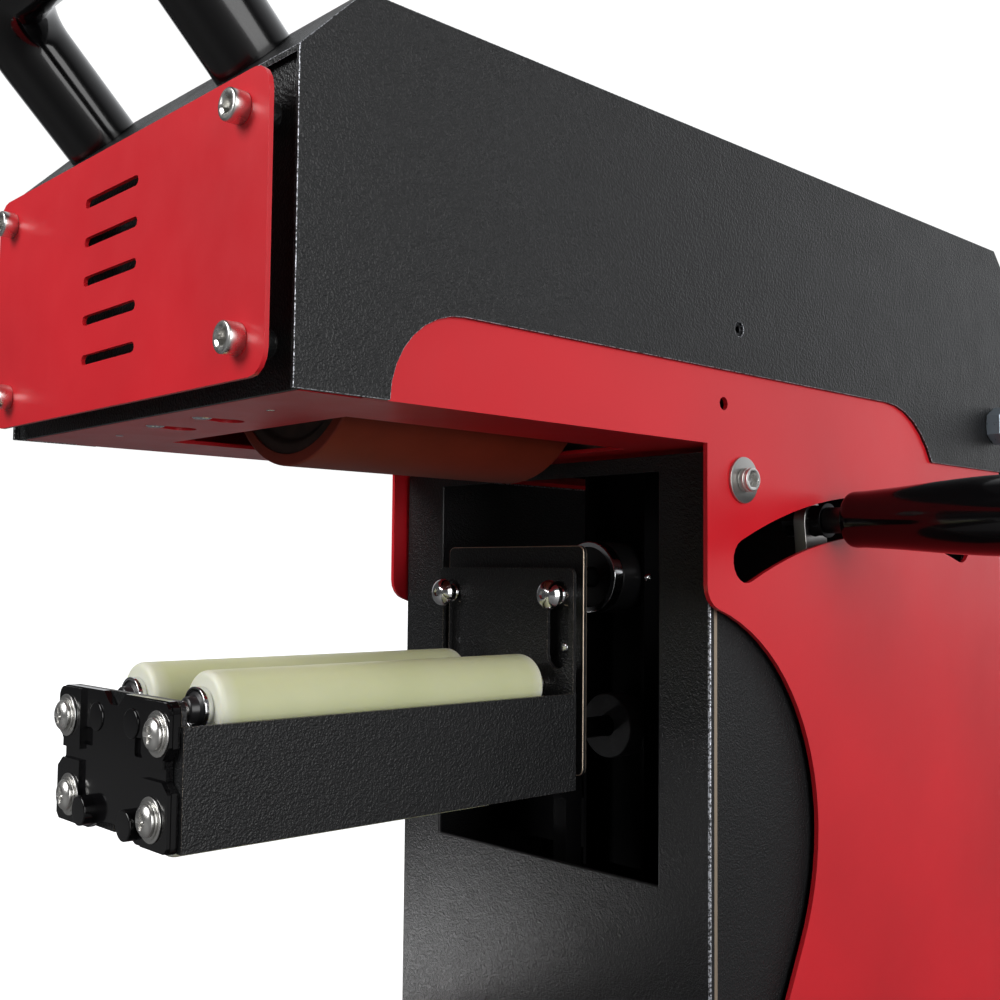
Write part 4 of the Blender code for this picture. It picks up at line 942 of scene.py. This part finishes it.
def add_feet():
    for end in ("front", "rear"):
        for side, _ in SIDES:
            node = f"foot_{end}_{side}"
            low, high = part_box(node)
            centre = middle(node)
            radius = (high.x - low.x) / 2 / MM
            height = (high.z - low.z) / MM
            start = Vector((centre.x, centre.y, high.z))
            rings = [(0, 0), (0, radius), (2.6, radius), (3.0, radius - 0.9)]
            rings += [(3.8, radius - 0.9), (4.2, radius - 0.5), (height, radius * 0.86)]
            rings += [(height, 6.4), (height - 3.2, 5.4), (height - 3.2, 0)]
            put(f"{node}_pad", turned(start, -Z, eased(rings, 0.5), 56), "rubber", "root", [node])
            seat = Vector((centre.x, centre.y, low.z + 3.1 * MM))
            dome = [(-0.1, 4.6), (0.9, 4.2), (1.6, 3.0)]
            rings = [(-0.1, 0), *smooth_profile(dome, 3), (1.7, 2.2, cross), (0.7, 1.5, cross), (0.3, 0)]
            put(f"{node}_screw", turned(seat, -Z, rings, 48), "zinc", "root")


def add_buttons():
    for name in ("set", "up", "down"):
        node = f"button_{name}"
        low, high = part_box(node)
        centre = middle(node)
        radius = (high.x - low.x) / 2 / MM
        height = (high.z - low.z) / MM
        start = Vector((centre.x, centre.y, low.z))
        rings = [(0, 0), (0, radius), (height - 0.9, radius), (height, radius - 0.9), (height - 0.25, 0)]
        mesh = turned(start, Z, eased(rings, 0.5), 48)
        body = BODY_OF[node]
        put(f"{node}_cap", mesh, "button", body, [node])
        top = in_head(high).z - 0.15
        spot = in_head(centre)
        if name == "set":
            mark = circle((spot.x, spot.y), 1.5)
            hole = [circle((spot.x, spot.y), 0.9)[::-1]]
        else:
            tip = 1.7 if name == "up" else -1.7
            foot = spot.y - tip * 0.6
            mark = [(spot.x - 1.7, foot), (spot.x + 1.7, foot), (spot.x, spot.y + tip)]
            hole = []
        mesh = plate("XY", mark, top - 0.2, top + 0.12, hole)
        put(f"{node}_mark", mesh, "plastic", body)


SEGMENTS = {"0": "abcdef", "1": "bc", "8": "abcdefg"}


def segment_shapes(size):
    """The seven bars of a digit, each as its centre and whether it lies flat."""
    return {
        "a": ((0, size), True),
        "g": ((0, 0), True),
        "d": ((0, -size), True),
        "f": ((-size / 2, size / 2), False),
        "b": ((size / 2, size / 2), False),
        "e": ((-size / 2, -size / 2), False),
        "c": ((size / 2, -size / 2), False),
    }


def add_display():
    """A generic three-digit temperature on the controller's window."""
    low, high = (in_head(corner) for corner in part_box("display_lens"))
    centre = (low + high) / 2
    size, bar, pitch = 3.6, 0.45, 7.2
    for row, (name, text, lift) in enumerate((("upper", "180", 6.6), ("lower", "008", -6.6))):
        for column, digit in enumerate(text):
            at = Vector((centre.x + (column - 1) * pitch, centre.y + lift))
            for key in SEGMENTS[digit]:
                (u, v), flat = segment_shapes(size)[key]
                half = (size / 2 - 0.5, bar) if flat else (bar, size / 2 - 0.5)
                corner = (at.x + u, at.y + v)
                outline = [
                    (corner[0] - half[0], corner[1] - half[1]),
                    (corner[0] + half[0], corner[1] - half[1]),
                    (corner[0] + half[0], corner[1] + half[1]),
                    (corner[0] - half[0], corner[1] + half[1]),
                ]
                mesh = plate("XY", outline, high.z - 0.1, high.z + 0.06)
                put(f"digit_{name}_{column + 1}_{key}", mesh, "digit", "root")


def small_pan_screw(name, seat, out, radius, body="root", finish="zinc"):
    dome = [(0, radius), (radius * 0.3, radius * 0.92), (radius * 0.55, radius * 0.62)]
    rings = [(-3, 0), (-3, radius * 0.5), (0, radius * 0.5), (0, radius * 0.9)]
    rings += smooth_profile(dome, 3)
    rings += [(radius * 0.58, radius * 0.5, cross), (radius * 0.2, radius * 0.36, cross)]
    rings += [(radius * 0.05, 0)]
    return put(name, turned(seat, out, rings, 40), finish, body)


def add_small_fastenings():
    """Screws and pins under the arm, a red strip inside it, and screws on the rear cover."""
    for number, x in enumerate((-14, 19)):
        seat = place(x, 17.2, 1.7)
        rings = [(-5, 0), (-5, 1.7), (0, 1.7), (0, 4.2), (1.2, 4.0), (1.9, 2.8)]
        rings += [(1.7, 1.9, cross), (0.8, 1.2, cross), (0.6, 0)]
        put(f"arm_hanging_screw_{number + 1}", turned(seat, -Z, rings, 40), "chrome", "root")
    for number, (x, y) in enumerate(((-53, 22.5), (53, 22.5))):
        seat = place(x, y, 1.0)
        rings = eased([(-6, 0), (-6, 1.6), (0.9, 1.6), (1.1, 1.2), (1.1, 0)], 0.3)
        put(f"arm_pin_{number + 1}", turned(seat, -Z, rings, 28), "chrome", "root")
    strip = rounded_rectangle((-40, 8), (44, 42), 3)
    put("arm_stiffener", plate("XY", strip, 4.2, 5.2), "red", "root")
    cover_y = in_head(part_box("rear_cover")[1]).y
    low, high = (in_head(corner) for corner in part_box("rear_cover"))
    spots = [(x, z) for x in (low.x + 8, high.x - 8) for z in (low.z + 8, (low.z + high.z) / 2, high.z - 8)]
    for number, (x, z) in enumerate(spots):
        small_pan_screw(f"rear_cover_screw_{number + 1}", place(x, cover_y + 0.05, z), Y, 3.6)


def add_pieces():
    add_kept_pieces()
    add_front_plate_screws()
    add_hood_fastenings()
    add_carry_handle()
    add_lever()
    add_drum()
    add_rollers()
    add_end_cap()
    add_carriage_details()
    add_column_edge()
    add_feet()
    add_buttons()
    add_display()
    add_small_fastenings()


# ---------------------------------------------------------------- studio


def area_light(name, spot, aim, size, power, colour=(1.0, 1.0, 1.0)):
    data = bpy.data.lights.new(name, "AREA")
    data.shape = "RECTANGLE"
    data.size, data.size_y = size
    data.energy = power
    data.color = colour
    made = bpy.data.objects.new(name, data)
    made.location = spot
    made.rotation_euler = (Vector(aim) - Vector(spot)).to_track_quat("-Z", "Y").to_euler()
    made.visible_camera = False
    bpy.context.scene.collection.objects.link(made)
    return made


def add_world():
    world = bpy.data.worlds.new("studio")
    bpy.context.scene.world = world
    world.use_nodes = True
    tree = world.node_tree
    nodes, links = tree.nodes, tree.links
    sky = nodes["Background"]
    where = nodes.new("ShaderNodeTexCoord")
    towards = nodes.new("ShaderNodeVectorMath")
    towards.operation = "DOT_PRODUCT"
    towards.inputs[1].default_value = Vector((-0.3, 0.95, 0.1)).normalized()
    ramp = nodes.new("ShaderNodeValToRGB")
    ramp.color_ramp.elements[0].position = 0.62
    ramp.color_ramp.elements[0].color = (0.07, 0.07, 0.072, 1)
    ramp.color_ramp.elements[1].position = 0.93
    ramp.color_ramp.elements[1].color = (1.1, 1.12, 1.15, 1)
    half = nodes.new("ShaderNodeMath")
    half.operation = "MULTIPLY_ADD"
    half.inputs[1].default_value = 0.5
    half.inputs[2].default_value = 0.5
    links.new(where.outputs["Generated"], towards.inputs[0])
    links.new(towards.outputs["Value"], half.inputs[0])
    links.new(half.outputs[0], ramp.inputs[0])
    links.new(ramp.outputs[0], sky.inputs["Color"])
    seen = nodes.new("ShaderNodeBackground")
    seen.inputs["Color"].default_value = (1.0, 1.0, 1.0, 1)
    seen.inputs["Strength"].default_value = 1.05
    path = nodes.new("ShaderNodeLightPath")
    mix = nodes.new("ShaderNodeMixShader")
    links.new(path.outputs["Is Camera Ray"], mix.inputs[0])
    links.new(sky.outputs[0], mix.inputs[1])
    links.new(seen.outputs[0], mix.inputs[2])
    links.new(mix.outputs[0], nodes["World Output"].inputs["Surface"])


def add_studio():
    add_world()
    floor_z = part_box("foot_front_left")[0].z
    finish = Finish("floor", (0.9, 0.9, 0.9), 0.6)
    pale = finish.ramp(finish.noise(3, 2), [(0.3, 0.88), (0.7, 0.92)])
    seen = finish.node("ShaderNodeLightPath").outputs["Is Camera Ray"]
    finish.set("Base Color", finish.blend(seen, (0.12, 0.12, 0.12, 1.0), pale))
    away = finish.node("ShaderNodeVectorMath", {"operation": "LENGTH"}, {0: finish.where})
    far = finish.rise(away.outputs["Value"], 0.6, 1.6)
    finish.set("Emission Color", (1.0, 1.0, 1.0, 1.0))
    glow = finish.maths("MULTIPLY_ADD", far, 0.4, 0.6)
    shown = finish.maths("MULTIPLY", glow, seen)
    mirrored = finish.node("ShaderNodeLightPath").outputs["Is Glossy Ray"]
    beside = finish.rise(finish.axis("X"), 0.2, 0.9)
    sheen = finish.maths("MULTIPLY", finish.maths("MULTIPLY", mirrored, beside), 0.15)
    finish.set("Emission Strength", finish.maths("ADD", shown, sheen))
    form = bmesh.new()
    bmesh.ops.create_circle(form, cap_ends=True, radius=14, segments=96)
    floor = bpy.data.objects.new("floor", as_mesh(form))
    floor.data.materials.append(finish.made)
    floor.location = (0, 0, floor_z)
    bpy.context.scene.collection.objects.link(floor)
    centre = (0.0, 0.0, 0.25)
    area_light("key", (-0.5, -1.9, 1.4), centre, (1.2, 1.2), 38)
    area_light("side", (2.1, -0.3, 0.7), centre, (1.6, 1.6), 34)
    low = area_light("low", (-0.25, -0.17, 0.01), (-0.08, -0.043, 0.085), (0.12, 0.12), 0.032)
    low.data.spread = radians(36)


def add_camera():
    lens, sensor = 43.85, 36.0
    yaw, pitch, roll = radians(46.886), radians(3.497), radians(0.544)
    forward = Vector((-sin(yaw) * cos(pitch), cos(yaw) * cos(pitch), sin(pitch)))
    right = Vector((cos(yaw), sin(yaw), 0))
    up = right.cross(forward)
    turned_right = right * cos(roll) + up * sin(roll)
    turned_up = up * cos(roll) - right * sin(roll)
    data = bpy.data.cameras.new("camera")
    data.lens = lens
    data.sensor_width = sensor
    data.clip_start = 0.01
    camera = bpy.data.objects.new("camera", data)
    axes = Matrix((turned_right, turned_up, -forward)).transposed()
    camera.matrix_world = Matrix.Translation(place(386.7, -188.7, -51.7)) @ axes.to_4x4()
    bpy.context.scene.collection.objects.link(camera)
    bpy.context.scene.camera = camera
    bpy.context.scene.view_settings.view_transform = "Standard"


add_pieces()
add_studio()
add_camera()
